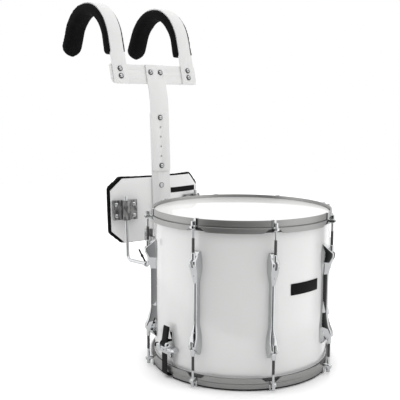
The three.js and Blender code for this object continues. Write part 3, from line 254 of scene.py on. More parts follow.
# J rods, clamps, receivers and latches
J_ROD_SPACING = 200
J_ROD_RADIUS = 4
J_ROD_BEHIND = 3
J_ROD_TOP = 66
J_ROD_RUN_LEVEL = 170.5
J_ROD_RUN_RISE = 5
J_ROD_BENDS = (6, 12)  # at its front and at its foot
J_ROD_SHORT_LEG = 193.5
J_ROD_ROUND = 0.6
J_ROD_END_ANGLE = 70
CLAMP_HEIGHT = 45
CLAMP_BOTTOM = 11.2
CLAMP_BASE = 12
CLAMP_ROUND = 0.9
RECEIVER_TOP = 255.5
RECEIVER_STUB = 2
RECEIVER_BLOCK = 13
RECEIVER_ROUND = 0.7
LATCH_SETBACK = 10.2
LATCH_LENGTH = 6
LATCH_CLEAR = 0.5
LATCH_WALL = 2.2
LATCH_EASE = 0.5
LATCH_SIDES = 36
LATCH_LEVER = 34
LATCH_LEVER_RADIUS = 1.9
LATCH_LEVER_SIDES = 20
LATCH_LEVER_EASE = 0.8
LATCH_COLLAR_RADIUS = 3
LATCH_COLLAR_LENGTH = 5
LATCH_COLLAR_SHARE = 0.48
LATCH_COLLAR_SIDES = 24
LATCH_COLLAR_EASE = 0.6
LATCH_TILT = 44

# Pads, in metres
PAD_VOXEL = 0.004
PAD_GROW = 0.0026
PAD_SWELL = 0.002
PAD_HOLD = 0.0008
PAD_EASE = 0.0035
PAD_FRAMES = 20
PAD_PRESSURE = 4

# Finishes
BRUSH_ALONG = 3  # scale of the hoops' grain, per radian round the drum
BRUSH_ACROSS = 1800  # and per metre across
# tone of the bottom hoop's painted contact shadow
PAINTED_SHADOW_TONE = 0.015
COAT_SPREAD = 0.025
COAT_WARMTH = 0.005

# Camera, in millimetres and degrees
EYE = (-936.15, -1074.27, 532.8)
HEADING = (0.6174, 0.7867)
PITCH = 7.785
ROLL = 0.27
FOCAL_LENGTH = 63.11
SENSOR = 36
SHIFT = (-0.0145, -0.0071)

# Floors, in metres
FLOOR_SIZE = 6
FLOOR_TONE = 0.95
NEAR_FLOOR_RADIUS = 0.62
NEAR_FLOOR_SIDES = 96
NEAR_FLOOR_TONE = 0.8
BRIGHT_FLOOR_TONE = 1.15
FLOOR_STEP = 0.0001  # from one floor down to the next

# The studio: bright walls on both sides of the camera, a dark one behind it, and a pale ceiling
DARK_WALL = (-58, 38)  # degrees to the left and right of the camera
DARK_LIGHTS = (0, 0.36)  # at the dark wall's left and right
WALL_EDGE = 3
SIDE_LIGHT = 1.35
BACK_LIGHT = 1.15
BACK_START = 115
BACK_EDGE = 20
DIM_WALL = (105, 135)
DIM_EDGE = 16
DIM_SHARE = 0.65
CEILING_LIGHT = 1.27
CEILING_START = 0.5  # height of a direction whose length is 1
CEILING_EDGE = 0.2
FLOOR_LIGHT = 0.85
GROUND_START = -0.42
GROUND_EDGE = 0.14

# Sizes that follow from those above
DRUM_HEIGHT = SHELL_HEIGHT + 2 * (FIT_GAP + HEAD_FILM + HEAD_RECESS)
HOOP_EDGE = CLAW_LIP + FIT_GAP
DRUM_MIDDLE = HOOP_EDGE + DRUM_HEIGHT / 2
SEAT_RADIUS = SHELL_RADIUS + FIT_GAP
COLLAR_RADIUS = SEAT_RADIUS + HEAD_FILM
TIER_INNER = COLLAR_RADIUS + HOOP_EASE
TIER_OUTER = TIER_INNER + HOOP_WALL
SKIRT_OUTER = TIER_OUTER + SKIRT_STEP
SKIRT_INNER = SKIRT_OUTER - SKIRT_WALL
ROD_CIRCLE = SKIRT_OUTER + ROD_STANDOFF
LUG_DEPTH = ROD_CIRCLE + LUG_COVER - SEAT_RADIUS
LUG_DEPTHS = ((0, 12.4), (41, 12.4), (63, 18), (75, LUG_DEPTH), (83, LUG_DEPTH), (99, 4))
EDGE = DRUM_HEIGHT / 2  # of a hoop, from the drum's middle
LEDGE = EDGE - TIER_DEPTH
FREE = EDGE - HOOP_DEPTH
FLESH_HOOP_TOP = LEDGE - HOOP_WALL - FIT_GAP
FLESH_HOOP_BOTTOM = FLESH_HOOP_TOP - FLESH_HOOP_HEIGHT
LEAN = radians(CARRIER_LEAN)
BELLY_CENTRE = 2 * (SHEET + FIT_GAP) + BELLY_RADIUS
LATCH_BORE = J_ROD_RADIUS + LATCH_CLEAR
LATCH_OUTER = LATCH_BORE + LATCH_WALL

shell_low, shell_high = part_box("shell")
axis = (shell_low + shell_high) / 2
DRUM = Matrix.Translation((axis.x, axis.y, 0)) @ Matrix.Scale(MM, 4)


# Places

def seat(x=0, y=0, z=0, turn_x=0, turn_z=0):
    """A place in the drum's frame, turned about its own X and then about the upright."""
    turn = Matrix.Rotation(turn_z, 4, "Z") @ Matrix.Rotation(turn_x, 4, "X")
    return Matrix.Translation((x, y, z)) @ turn


def around(degrees):
    """A place on the drum's axis whose X points out at an azimuth from the drum's front."""
    return seat(turn_z=radians(degrees) - pi / 2)


UPPER = seat(z=DRUM_MIDDLE)
LOWER = seat(z=DRUM_MIDDLE, turn_x=pi)
CARRIER = seat(y=CARRIER_FRONT, z=CARRIER_LEVEL, turn_x=-LEAN)
HEAD_BEHIND = CARRIER_FRONT + (BEND_LEVEL - CARRIER_LEVEL) * tan(LEAN)
CARRIER_HEAD = seat(y=HEAD_BEHIND, z=BEND_LEVEL, turn_x=-radians(HEAD_LEAN))
LUG_AZIMUTHS = [(i + 0.5) * 360 / LUG_COUNT for i in range(LUG_COUNT)]
HANDS = ((1, "right"), (-1, "left"))
ALONG_X = Matrix.Rotation(pi / 2, 4, "Y")  # for what stood up


# Shapes

def only(kind, made):
    return [item for item in made if isinstance(item, kind)]


def tidied(bm):
    ops.remove_doubles(bm, verts=bm.verts, dist=1e-4)
    ops.recalc_face_normals(bm, faces=bm.faces)
    return bm


def moved(bm, place):
    ops.transform(bm, matrix=place, verts=bm.verts)
    return bm


def spun(profile, steps=ROUND_SIDES, closed=True):
    """A form turned about the upright from pairs of radius and height."""
    bm = bmesh.new()
    line = [bm.verts.new((r, 0, z)) for r, z in profile]
    pairs = list(zip(line, line[1:]))
    if closed:
        pairs.append((line[-1], line[0]))
    edges = [bm.edges.new(pair) for pair in pairs]
    ops.spin(
        bm, geom=line + edges, cent=(0, 0, 0), axis=(0, 0, 1), angle=2 * pi, steps=steps, use_merge=True
    )
    return tidied(bm)


def column(outline, height):
    """An outline drawn in plan, as tall as said."""
    bm = bmesh.new()
    face = bm.faces.new([bm.verts.new((x, y, 0)) for x, y in outline])
    made = ops.extrude_face_region(bm, geom=[face])
    ops.translate(bm, verts=only(BMVert, made["geom"]), vec=(0, 0, height))
    return tidied(bm)


def panel(outline, thickness):
    """An outline drawn along X and up, thick towards +Y from Y = 0."""
    return moved(forward(column(outline, thickness)), seat(y=thickness))


def slab(outline, width):
    """An outline drawn along X and up, half its width on each side of Y = 0."""
    return moved(panel(outline, width), seat(y=-width / 2))


def block(x0, x1, y0, y1, z0, z1):
    return moved(column([(x0, y0), (x1, y0), (x1, y1), (x0, y1)], z1 - z0), seat(z=z0))


def eased(bm, width, segments=2, sharper=SHARP_ANGLE):
    """The form with its sharp edges rounded."""
    limit = radians(sharper)
    edges = [e for e in bm.edges if e.is_manifold and e.calc_face_angle() > limit]
    ops.bevel(
        bm, geom=edges, offset=width, segments=segments, profile=0.5, affect="EDGES", clamp_overlap=True,
        material=-1,
    )
    return bm


def bar(radius, z0, z1, sides=ROUND_SIDES, ease=EASE):
    """A round bar along the upright with its ends eased."""
    low = [(0, z0), (radius - ease, z0), (radius, z0 + ease)]
    high = [(radius, z1 - ease), (radius - ease, z1), (0, z1)]
    return spun(low + high, sides, closed=False)


def backward(bm):
    """What stood up now points back, along +Y."""
    return moved(bm, seat(turn_x=-pi / 2))


def forward(bm):
    """What stood up now points to the front, along -Y."""
    return moved(bm, seat(turn_x=pi / 2))


def together(*forms):
    """Several forms as one mesh."""
    whole = bmesh.new()
    for bm in forms:
        mesh = bpy.data.meshes.new("together")
        bm.to_mesh(mesh)
        bm.free()
        whole.from_mesh(mesh)
        bpy.data.meshes.remove(mesh)
    return whole


def as_object(name, bm):
    mesh = bpy.data.meshes.new(name)
    bm.to_mesh(mesh)
    bm.free()
    obj = bpy.data.objects.new(name, mesh)
    scene.collection.objects.link(obj)
    return obj


def discard(obj):
    mesh = obj.data
    bpy.data.objects.remove(obj)
    bpy.data.meshes.remove(mesh)


def evaluated(obj):
    """The object's mesh with its modifiers, as a bmesh, and the object removed."""
    bpy.context.view_layer.update()
    graph = bpy.context.evaluated_depsgraph_get()
    bm = bmesh.new()
    bm.from_object(obj, graph)
    discard(obj)
    return bm


def carved(bm, *tools):
    """The form with the tools, which don't touch each other, cut out of it."""
    body, tool = as_object("body", bm), as_object("tool", together(*tools))
    cut = body.modifiers.new("cut", "BOOLEAN")
    cut.operation = "DIFFERENCE"
    cut.solver = "EXACT"
    cut.object = tool
    result = evaluated(body)
    discard(tool)
    return result


def merged_copy(node):
    """A CAD node's form as one joined mesh, in millimetres in the drum's frame."""
    bm = bmesh.new()
    bm.from_mesh(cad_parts[node].data)
    moved(bm, DRUM.inverted())
    ops.remove_doubles(bm, verts=bm.verts, dist=1e-3)
    ops.dissolve_limit(bm, angle_limit=radians(0.5), verts=bm.verts, edges=bm.edges)
    return bm


def tube(points, radius, bends, sides=ROUND_SIDES, steps=8):
    """A round rod along straight lines between points, bent to a radius at each corner."""
    points = [Vector(p) for p in points]
    into = (points[1] - points[0]).normalized()
    start = Matrix.Translation(points[0]) @ into.to_track_quat("Z", "Y").to_matrix().to_4x4()
    bm = bmesh.new()
    ops.create_circle(bm, segments=sides, radius=radius, matrix=start)
    ring = list(bm.edges)

    def run(ring, shift):
        made = ops.extrude_edge_only(bm, edges=ring)["geom"]
        ends = only(BMVert, made)
        ops.translate(bm, verts=ends, vec=shift)
        return [e for e in only(BMEdge, made) if e.verts[0] in ends and e.verts[1] in ends]

    at = points[0]
    for before, corner, after, bend in zip(points, points[1:], points[2:], bends):
        into, out = (corner - before).normalized(), (after - corner).normalized()
        turn = into.angle(out)
        reach = bend * tan(turn / 2)
        near = corner - into * reach
        ring = run(ring, near - at)
        hinge = into.cross(out).normalized()
        centre = near + hinge.cross(into) * bend
        geom = list({v for e in ring for v in e.verts}) + ring
        made = ops.spin(bm, geom=geom, cent=centre, axis=hinge, angle=turn, steps=steps)
        ring = only(BMEdge, made["geom_last"])
        at = corner + out * reach
    run(ring, points[-1] - at)
    ops.holes_fill(bm, edges=bm.edges, sides=0)
    return tidied(bm)


def piece(name, bm, finish, body, place=Matrix(), node=None):
    """A form as an object of the scene, at its place, riding on a body and standing for a CAD node."""
    obj = as_object(name, moved(bm, DRUM @ place))
    obj.data.shade_smooth()
    obj.data.set_sharp_from_angle(angle=radians(SHARP_ANGLE))
    obj.data.materials.append(finish)
    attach(obj, body)
    if node:
        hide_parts(node)
    return obj


def add_copy(name, node, width, finish, body, sharper=CASTING_ANGLE):
    """The CAD node's own form with eased edges, as a piece."""
    piece(name, eased(merged_copy(node), width, sharper=sharper), finish, body, node=node)


def arc(cx, cy, radius, start, end, steps=8):
    """Points along an arc, its angles in degrees."""
    angles = [radians(start + (end - start) * i / steps) for i in range(steps + 1)]
    return [(cx + radius * cos(a), cy + radius * sin(a)) for a in angles]


def curve(start, corner, end, steps):
    """Points along a curve that leaves the start towards the corner and comes to the end from there."""
    spots = [i / steps for i in range(steps + 1)]
    return [start * (1 - t) ** 2 + corner * 2 * t * (1 - t) + end * t * t for t in spots]


def both_ways(upper):
    """A profile's upper half, drawn from the outside in, with its image below."""
    return [(r, -z) for r, z in reversed(upper)] + upper


# Finishes

class Sum:
    """A value in a node tree, for writing the shader's maths as sums."""

    def __init__(self, nodes, socket):
        self.nodes = nodes
        self.socket = socket

    def maths(self, operation, *values):
        return self.nodes.node("Math", {"operation": operation}, dict(enumerate(values)))

    def __add__(self, other):
        return self.maths("ADD", self, other)

    def __sub__(self, other):
        return self.maths("SUBTRACT", self, other)

    def __rsub__(self, other):
        return self.maths("SUBTRACT", other, self)

    def __mul__(self, other):
        return self.maths("MULTIPLY", self, other)

    def between(self, low, high):
        """The value from 0 to 1 as one from low to high."""
        return self * (high - low) + low


class Nodes:
    """A node tree whose nodes are made one line each."""

    def __init__(self, tree):
        self.tree = tree

    def node(self, kind, settings, sockets, output=0):
        made = self.tree.nodes.new("ShaderNode" + kind)
        for key, value in settings.items():
            setattr(made, key, value)
        for key, value in sockets.items():
            if isinstance(value, Sum):
                self.tree.links.new(value.socket, made.inputs[key])
            else:
                made.inputs[key].default_value = value
        return Sum(self, made.outputs[output])

    def places(self, **mapping):
        """Object coordinates in metres, moved or stretched."""
        where = self.node("TexCoord", {}, {}, "Object")
        return self.node("Mapping", {}, {"Vector": where, **mapping}) if mapping else where

    def axes(self, where):
        """The three numbers of a place."""
        z = self.node("SeparateXYZ", {}, {"Vector": where}, "Z")
        outputs = z.socket.node.outputs
        return Sum(self, outputs["X"]), Sum(self, outputs["Y"]), z

    def noise(self, scale, detail=2, **mapping):
        sockets = {"Vector": self.places(**mapping), "Scale": scale, "Detail": detail}
        return self.node("TexNoise", {}, sockets, "Fac")

    def step(self, value, at, width):
        """0 below a place, 1 above it, with a soft edge."""
        ends = {"From Min": at - width / 2, "From Max": at + width / 2}
        return self.node("MapRange", {"interpolation_type": "SMOOTHSTEP"}, {"Value": value, **ends})

    def shades(self, value, dark, light):
        """A colour from dark to light."""
        factor, first, second, result = 0, 6, 7, 2  # the colour sockets of the mix
        sockets = {factor: value, first: (*dark, 1), second: (*light, 1)}
        return self.node("Mix", {"data_type": "RGBA"}, sockets, result)

    def bump(self, height, strength, distance, normal=None):
        sockets = {"Height": height, "Strength": strength, "Distance": distance}
        if normal:
            sockets["Normal"] = normal
        return self.node("Bump", {}, sockets)


class Finish(Nodes):
    """A material, whose constants stand on the shader's own sockets."""

    def __init__(self, name, color, roughness, metallic=0, more=None):
        self.material = bpy.data.materials.new(name)
        self.material.use_nodes = True
        super().__init__(self.material.node_tree)
        self.shader = self.tree.nodes["Principled BSDF"]
        self.material.diffuse_color = (*color, 1)
        sockets = {"Base Color": (*color, 1), "Roughness": roughness, "Metallic": metallic, **(more or {})}
        for key, value in sockets.items():
            self.shader.inputs[key].default_value = value

    def fed(self, **values):
        """The material, with values that vary over the surface."""
        for key, value in values.items():
            self.tree.links.new(value.socket, self.shader.inputs[key.replace("_", " ")])
        return self.material


def grey(tone):
    return (tone, tone, tone)


def noisy(name, color, roughness, bumps, metallic=0, more=None):
    """A finish whose colour, roughness and bumps vary with noise.

    Each is the noise's scale and detail, then the two ends, or the bumps' strength and height in metres.
    """
    middle = [(dark + light) / 2 for dark, light in zip(*color[2:])]
    finish = Finish(name, middle, sum(roughness[2:]) / 2, metallic, more)
    shades = finish.shades(finish.noise(*color[:2]), *color[2:])
    haze = finish.noise(*roughness[:2]).between(*roughness[2:])
    relief = finish.bump(finish.noise(*bumps[:2]), *bumps[2:])
    return finish.fed(Base_Color=shades, Roughness=haze, Normal=relief)


def powder_coat(name, tone):
    dark, light = tone - COAT_SPREAD, tone + COAT_SPREAD
    colors = (dark, dark, dark - COAT_WARMTH), (light, light, light - COAT_WARMTH)
    return noisy(name, (14, 2, *colors), (900, 3, 0.36, 0.5), (900, 3, 0.18, 0.0001))


def hoop_grey():
    """Satin grey metal, brushed round the drum, with a painted contact shadow: a dark rim at the bottom."""
    finish = Finish("hoop_grey", (0.36, 0.36, 0.355), 0.36, 0.85)
    x, y, z = finish.axes(finish.places(Location=(-axis.x, -axis.y, 0)))
    turn = x.maths("ARCTAN2", y, x)
    radius = x.maths("SQRT", x * x + y * y)
    across = {"Y": radius * BRUSH_ACROSS, "Z": z * BRUSH_ACROSS}
    brushed = finish.node("CombineXYZ", {}, {"X": turn * BRUSH_ALONG, **across})
    grain = finish.node("TexNoise", {}, {"Vector": brushed, "Scale": 1, "Detail": 2}, "Fac")
    # painted contact shadow: the colour goes dark near the floor
    above_painted_shadow = finish.step(z, PAINTED_SHADOW_HEIGHT * MM, PAINTED_SHADOW_FADE * MM)
    shade = above_painted_shadow * grain.between(0.3, 0.4) + (1 - above_painted_shadow) * PAINTED_SHADOW_TONE
    color = finish.node("CombineColor", {}, {"Red": shade, "Green": shade, "Blue": shade * 0.985})
    return finish.fed(
        Base_Color=color, Roughness=grain.between(0.3, 0.44), Normal=finish.bump(grain, 0.08, 0.0001)
    )


def cast_zinc():
    """Dull cast metal with a grainy skin and upright streaks."""
    finish = Finish("cast_zinc", grey(0.3), 0.3, 1)
    grain = finish.noise(420, 3)
    streaks = finish.noise(260, Scale=(1, 1, 0.3)).between(-1.5, 2.5)
    shades = finish.shades(streaks, grey(0.16), grey(0.44))
    return finish.fed(
        Base_Color=shades, Roughness=grain.between(0.24, 0.42), Normal=finish.bump(grain, 0.3, 0.0002)
    )


def wound_wire():
    """Spiral snare wire, whose turns cross its length."""
    finish = Finish("wound_wire", grey(0.6), 0.25, 1)
    sockets = {"Vector": finish.places(), "Scale": 220}
    turns = finish.node("TexWave", {"bands_direction": "X"}, sockets, "Fac")
    shades = finish.shades(turns, grey(0.16), grey(0.75))
    return finish.fed(
        Base_Color=shades, Roughness=turns.between(0.4, 0.2), Normal=finish.bump(turns, 0.8, 0.0004)
    )


def black_foam():
    """Closed-cell foam with a skin."""
    finish = Finish("black_foam", (0.009, 0.009, 0.01), 0.85, more={"Specular IOR Level": 0.07})
    cells = finish.node("TexVoronoi", {}, {"Vector": finish.places(), "Scale": 900}, "Distance")
    broad = finish.noise(60, 4)
    shades = finish.shades(broad, (0.003, 0.003, 0.0035), (0.01, 0.01, 0.011))
    bumps = finish.bump(cells, 0.35, 0.0002, finish.bump(broad, 0.3, 0.001))
    return finish.fed(Base_Color=shades, Roughness=broad.between(0.74, 0.95), Normal=bumps)


WHITE_WRAP = noisy(
    "white_wrap", (7, 2, (0.74, 0.74, 0.735), (0.78, 0.78, 0.775)), (60, 2, 0.14, 0.26),
    (380, 2, 0.04, 0.00006), more={"Coat Weight": 1, "Coat Roughness": 0.11, "Coat IOR": 1.7},
)
COATED_FILM = noisy(
    "coated_film", (18, 2, (0.86, 0.86, 0.85), (0.9, 0.9, 0.89)), (2600, 3, 0.26, 0.4),
    (2600, 3, 0.12, 0.00005), more={"Coat Weight": 0.6, "Coat Roughness": 0.06},
)
HAZY_FILM = noisy(
    "hazy_film", (25, 2, (0.7, 0.71, 0.71), (0.78, 0.79, 0.79)), (90, 2, 0.2, 0.34), (1500, 2, 0.06, 0.00005),
    more={"Coat Weight": 0.4, "Coat Roughness": 0.1},
)
HOOP_GREY = hoop_grey()
CHROME = noisy(
    "chrome", (40, 2, (0.56, 0.57, 0.58), (0.66, 0.67, 0.68)), (140, 2, 0.02, 0.06), (260, 2, 0.03, 0.0001),
    metallic=1,
)
SATIN_CHROME = noisy(
    "satin_chrome", (60, 2, (0.66, 0.67, 0.68), (0.76, 0.77, 0.78)), (500, 2, 0.32, 0.44),
    (1100, 2, 0.06, 0.00005), metallic=1,
)
BRIGHT_ZINC = noisy(
    "bright_zinc", (900, 2, (0.52, 0.53, 0.54), (0.7, 0.71, 0.72)), (900, 2, 0.18, 0.34),
    (1600, 2, 0.1, 0.00005), metallic=1,
)
CAST_ZINC = cast_zinc()
DARK_STEEL = noisy(
    "dark_steel", (1100, 2, grey(0.04), grey(0.11)), (1100, 2, 0.28, 0.45), (1100, 2, 0.1, 0.00005),
    metallic=1,
)
WOUND_WIRE = wound_wire()
BLACK_ENAMEL = noisy(
    "black_enamel", (120, 2, grey(0.002), grey(0.006)), (400, 2, 0.24, 0.38), (900, 2, 0.06, 0.0001),
    more={"Specular IOR Level": 0.07},
)
BLACK_NYLON = noisy(
    "black_nylon", (1500, 3, grey(0.002), grey(0.009)), (1500, 3, 0.42, 0.6), (1500, 3, 0.25, 0.0001),
    more={"Specular IOR Level": 0.12},
)
POWDER_COAT = powder_coat("white_powder_coat", 0.77)
# a lighter copy of the same white powder coat for the belly plate: painted light against the shade on the
# plate
PAINTED_LIGHT_PLATE_COAT = powder_coat("plate_powder_coat_painted_light", 0.86)
BLACK_FOAM = black_foam()


# Drum

def shell():
    half, inner = SHELL_HEIGHT / 2, SHELL_RADIUS - SHELL_WALL
    return spun(both_ways([
        (SHELL_RADIUS, half - BEARING_BEVEL), (SHELL_RADIUS - BEARING_BEVEL, half),
        (inner + BEARING_SLOPE, half), (inner, half - BEARING_SLOPE),
    ]), DRUM_STEPS)


def head():
    face, rim = EDGE - HEAD_RECESS, FLESH_HOOP_BOTTOM
    under = face - HEAD_FILM
    bend = arc(COLLAR_RADIUS - HEAD_BEND, face - HEAD_BEND, HEAD_BEND, 0, 90, 5)
    return spun([
        (0, under), (SEAT_RADIUS - HEAD_BEND, under), (SEAT_RADIUS, under - HEAD_BEND), (SEAT_RADIUS, rim),
        (COLLAR_RADIUS, rim), *bend, (0, face),
    ], DRUM_STEPS, closed=False)


def flesh_hoop():
    inner, outer = COLLAR_RADIUS - FLESH_HOOP_LAP, SKIRT_INNER - FIT_GAP
    low, high = FLESH_HOOP_BOTTOM, FLESH_HOOP_TOP
    return spun([(inner, low), (outer, low), (outer, high), (inner, high)], DRUM_STEPS)


def hoop(gates):
    """A counter hoop with a notch at each lug, and with gates for the snares if it is the bottom one."""
    lip, groove, under = HOOP_LIP, TIER_OUTER - GROOVE_DEPTH, LEDGE - HOOP_WALL
    ring = spun([
        *arc(TIER_INNER + lip, EDGE - lip, lip, 180, 90, 3),
        *arc(TIER_OUTER - lip, EDGE - lip, lip, 90, 0, 3),
        (TIER_OUTER, LEDGE + GROOVE_HEIGHT), (groove, LEDGE + GROOVE_HEIGHT), (groove, LEDGE),
        *arc(SKIRT_OUTER - SKIRT_ROUND, LEDGE - SKIRT_ROUND, SKIRT_ROUND, 90, 0, 3),
        (SKIRT_OUTER, FREE), (SKIRT_INNER, FREE), (SKIRT_INNER, under), (TIER_INNER, under),
    ], DRUM_STEPS)
    root, corner = Vector((SKIRT_GAP_ROOT / 2, LEDGE)), Vector((SKIRT_GAP_MOUTH / 2, FREE))
    start = corner + (root - corner).normalized() * SKIRT_GAP_ROUND
    flare = curve(start, corner, corner + Vector((SKIRT_GAP_ROUND, 0)), 6)
    right = [(root.x, LEDGE + CUT_OVERRUN), tuple(root), *flare, (flare[-1].x, FREE - CUT_OVERRUN)]
    left = [(-x, z) for x, z in reversed(right)]
    depth = SKIRT_STEP + CUT_OVERRUN
    tools = []
    for degrees in LUG_AZIMUTHS:
        place = seat(turn_z=radians(degrees)) @ seat(y=-TIER_OUTER - depth)
        tools.append(moved(panel(right + left, depth), place))
    half = GATE_WIDTH / 2
    for hand in (1, -1) if gates else ():
        near, far = sorted((hand * (TIER_INNER - CUT_OVERRUN), hand * (TIER_OUTER + CUT_OVERRUN)))
        tools.append(block(near, far, -half, half, EDGE - GATE_DEPTH, EDGE + CUT_OVERRUN))
    return carved(ring, *tools)


def tension_rod():
    """A rod with its washers, square head and claw, drawn for the top hoop with X out from the axis."""
    arm_inner = TIER_OUTER + FIT_GAP
    arm_outer = arm_inner + CLAW_ARM
    foot_top = EDGE - CLAW_FOOT_DROP
    foot_under = foot_top - CLAW_FOOT_ROOT
    lip_under = EDGE + FIT_GAP
    lip_top = lip_under + CLAW_LIP
    lip_end = TIER_OUTER - CLAW_LIP_REACH
    tip = ROD_CIRCLE + CLAW_FOOT_COVER
    step = LEDGE - HOOP_WALL / 2
    claw = eased(slab([
        (SKIRT_INNER, foot_under), (ROD_CIRCLE, foot_under), (tip, foot_top - CLAW_FOOT_TIP), (tip, foot_top),
        (arm_outer, foot_top), (arm_outer, lip_top), (lip_end, lip_top), (lip_end, lip_under),
        (arm_inner, lip_under), (arm_inner, step), (SKIRT_INNER, step),
    ], CLAW_WIDTH), CLAW_ROUND)
    rod = bar(ROD_SHANK_RADIUS, LUG_HEIGHT / 2 + ROD_THREAD_ABOVE - OVERLAP, foot_top)
    washer = bar(WASHER_RADIUS, foot_top - WASHER_HEIGHT, foot_top + WASHER_HEIGHT)
    half = ROD_HEAD_SIDE / 2
    square = eased(block(-half, half, -half, half, foot_top, foot_top + ROD_HEAD_HEIGHT), ROD_HEAD_ROUND)
    return together(claw, moved(together(rod, washer, square), seat(x=ROD_CIRCLE)))


def rod_thread():
    """The threaded part of a rod, as rings along it."""
    low, high = LUG_HEIGHT / 2 - ROD_IN_LUG, LUG_HEIGHT / 2 + ROD_THREAD_ABOVE
    root = ROD_RADIUS - THREAD_DEPTH
    profile = [(0, low)]
    for i in range(round((high - low) / THREAD_PITCH)):
        level = low + i * THREAD_PITCH
        profile += [(root, level), (ROD_RADIUS, level + THREAD_PITCH / 2)]
    profile += [(root, high), (0, high)]
    return moved(spun(profile, SMALL_SIDES, closed=False), seat(x=ROD_CIRCLE))


def set_screw():
    """A small screw with a socket, its seat at Z = 0."""
    radius, high = LUG_SCREW_RADIUS, LUG_SCREW_HEIGHT
    profile = [(0, -OVERLAP), (radius, -OVERLAP), (radius, LUG_SCREW_RIM), (radius - LUG_SCREW_EASE, high)]
    profile += [(radius / 2, high), (radius / 2, 0), (0, 0)]
    return spun(profile, SMALL_SIDES, closed=False)


def height_at(points, at):
    """The height of a line through points, at a place along it."""
    for (x0, y0), (x1, y1) in zip(points, points[1:]):
        if at <= x1:
            return y0 + (y1 - y0) * (at - x0) / (x1 - x0)


def softened(points, at):
    """The same with its corners rounded, away from the line's end."""
    reach = max(0, min(LUG_SOFTNESS, points[-1][0] - LUG_SLOPE - at))
    spots = [at + reach * i / LUG_SOFT_STEPS for i in range(-LUG_SOFT_STEPS, LUG_SOFT_STEPS + 1)]
    return sum(height_at(points, abs(spot)) for spot in spots) / len(spots)


def lug_section(level):
    """The lug's outline at a level, X out from the shell."""
    at = abs(level)
    depth, wide = softened(LUG_DEPTHS, at), softened(LUG_WIDTHS, at) / 2
    narrow = min(wide, softened(LUG_FACES, at) / 2)
    foot, corner = Vector((0, wide)), Vector((depth, narrow))
    ease = min(LUG_EDGE_ROUND, LUG_FACE_SHARE * narrow, LUG_DEPTH_SHARE * depth)
    start, end = corner + (foot - corner).normalized() * ease, corner - Vector((0, ease))
    side = [foot, *curve(start, corner, end, LUG_EDGE_STEPS)]
    return side + [(x, -y) for x, y in reversed(side)]


def lug_casting():
    """A smooth long lug that swells round each rod, with a bore and a slot at each end."""
    half = LUG_HEIGHT / 2
    top = half - LUG_SLOPE
    count = round(top / LUG_STEP)
    levels = [-half] + [top * i / count for i in range(-count, count + 1)] + [half]
    bm = bmesh.new()
    rings = []
    for level in levels:
        line = [bm.verts.new((x, y, level)) for x, y in lug_section(level)]
        rings.append([bm.edges.new(pair) for pair in zip(line, line[1:] + line[:1])])
    for below, above in zip(rings, rings[1:]):
        ops.bridge_loops(bm, edges=below + above)
    ops.holes_fill(bm, edges=rings[0] + rings[-1], sides=0)
    tidied(bm)
    rod, side = ROD_CIRCLE - SEAT_RADIUS, LUG_SLOT_WIDTH / 2
    for hand in (1, -1):
        end = hand * (half + CUT_OVERRUN)
        low, high = sorted((hand * (half - ROD_IN_LUG - FIT_GAP), end))
        bm = carved(bm, moved(bar(ROD_RADIUS + FIT_GAP, low, high), seat(x=rod)))
        low, high = sorted((hand * (half - LUG_SLOT_LENGTH), end))
        bm = carved(bm, block(rod, LUG_DEPTH + CUT_OVERRUN, -side, side, low, high))
    ops.remove_doubles(bm, verts=bm.verts, dist=1e-3)
    return moved(eased(bm, LUG_ROUND, sharper=SHEET_ANGLE), seat(x=SEAT_RADIUS))


def add_lug(number, degrees):
    """A lug with its screws, the collars in its ends and its two rods."""
    place = UPPER @ around(degrees)
    node = f"lug_{number}"
    casting = piece(f"lug_casting_{number}", lug_casting(), CHROME, "drum", place, node)
    screws, bushings = [], []
    for hand in (1, -1):
        tilt = Matrix.Rotation(pi / 2 + hand * radians(LUG_SCREW_TILT), 4, "Y")
        spot = seat(SEAT_RADIUS + LUG_SCREW_OUT, 0, hand * LUG_SCREW_LEVEL)
        screws.append(moved(set_screw(), spot @ tilt))
        top = hand * (LUG_HEIGHT / 2 - BUSHING_INSET)
        low, high = sorted((top, top - hand * BUSHING_HEIGHT))
        bushings.append(moved(bar(BUSHING_RADIUS, low, high, ease=BUSHING_EASE), seat(x=ROD_CIRCLE)))
    piece(f"lug_set_screws_{number}", together(*screws), BRIGHT_ZINC, "drum", place)
    piece(f"lug_bushings_{number}", together(*bushings), CHROME, "drum", place)
    fittings = [casting]
    for end, side, turn in (("top", UPPER, degrees), ("bottom", LOWER, 180 - degrees)):
        place = side @ around(turn)
        name, node = f"{end}_tension_rod_{number}", f"{end}_rod_{number}"
        fittings.append(piece(name, tension_rod(), CHROME, "drum", place, node))
        name = f"{end}_rod_thread_{number}"
        fittings.append(piece(name, rod_thread(), DARK_STEEL, "drum", place))
    for fitting in fittings:
        fitting.visible_glossy = False  # as in the photograph, the shell's gloss doesn't show them


def add_drum():
    piece("drum_shell", shell(), WHITE_WRAP, "drum", UPPER, "shell")
    piece("batter_film", head(), COATED_FILM, "drum", UPPER, "batter_head")
    piece("snare_film", head(), HAZY_FILM, "drum", LOWER, "snare_head")
    piece("top_flesh_hoop", flesh_hoop(), DARK_STEEL, "drum", UPPER)
    piece("bottom_flesh_hoop", flesh_hoop(), DARK_STEEL, "drum", LOWER)
    piece("top_counter_hoop", hoop(False), HOOP_GREY, "drum", UPPER, "top_hoop")
    piece("bottom_counter_hoop", hoop(True), HOOP_GREY, "drum", LOWER, "bottom_hoop")
    for i, degrees in enumerate(LUG_AZIMUTHS):
        add_lug(i + 1, degrees)
    add_copy("bare_badge", "badge", BADGE_ROUND, BLACK_ENAMEL, "drum", SHEET_ANGLE)


# Strainer and snares

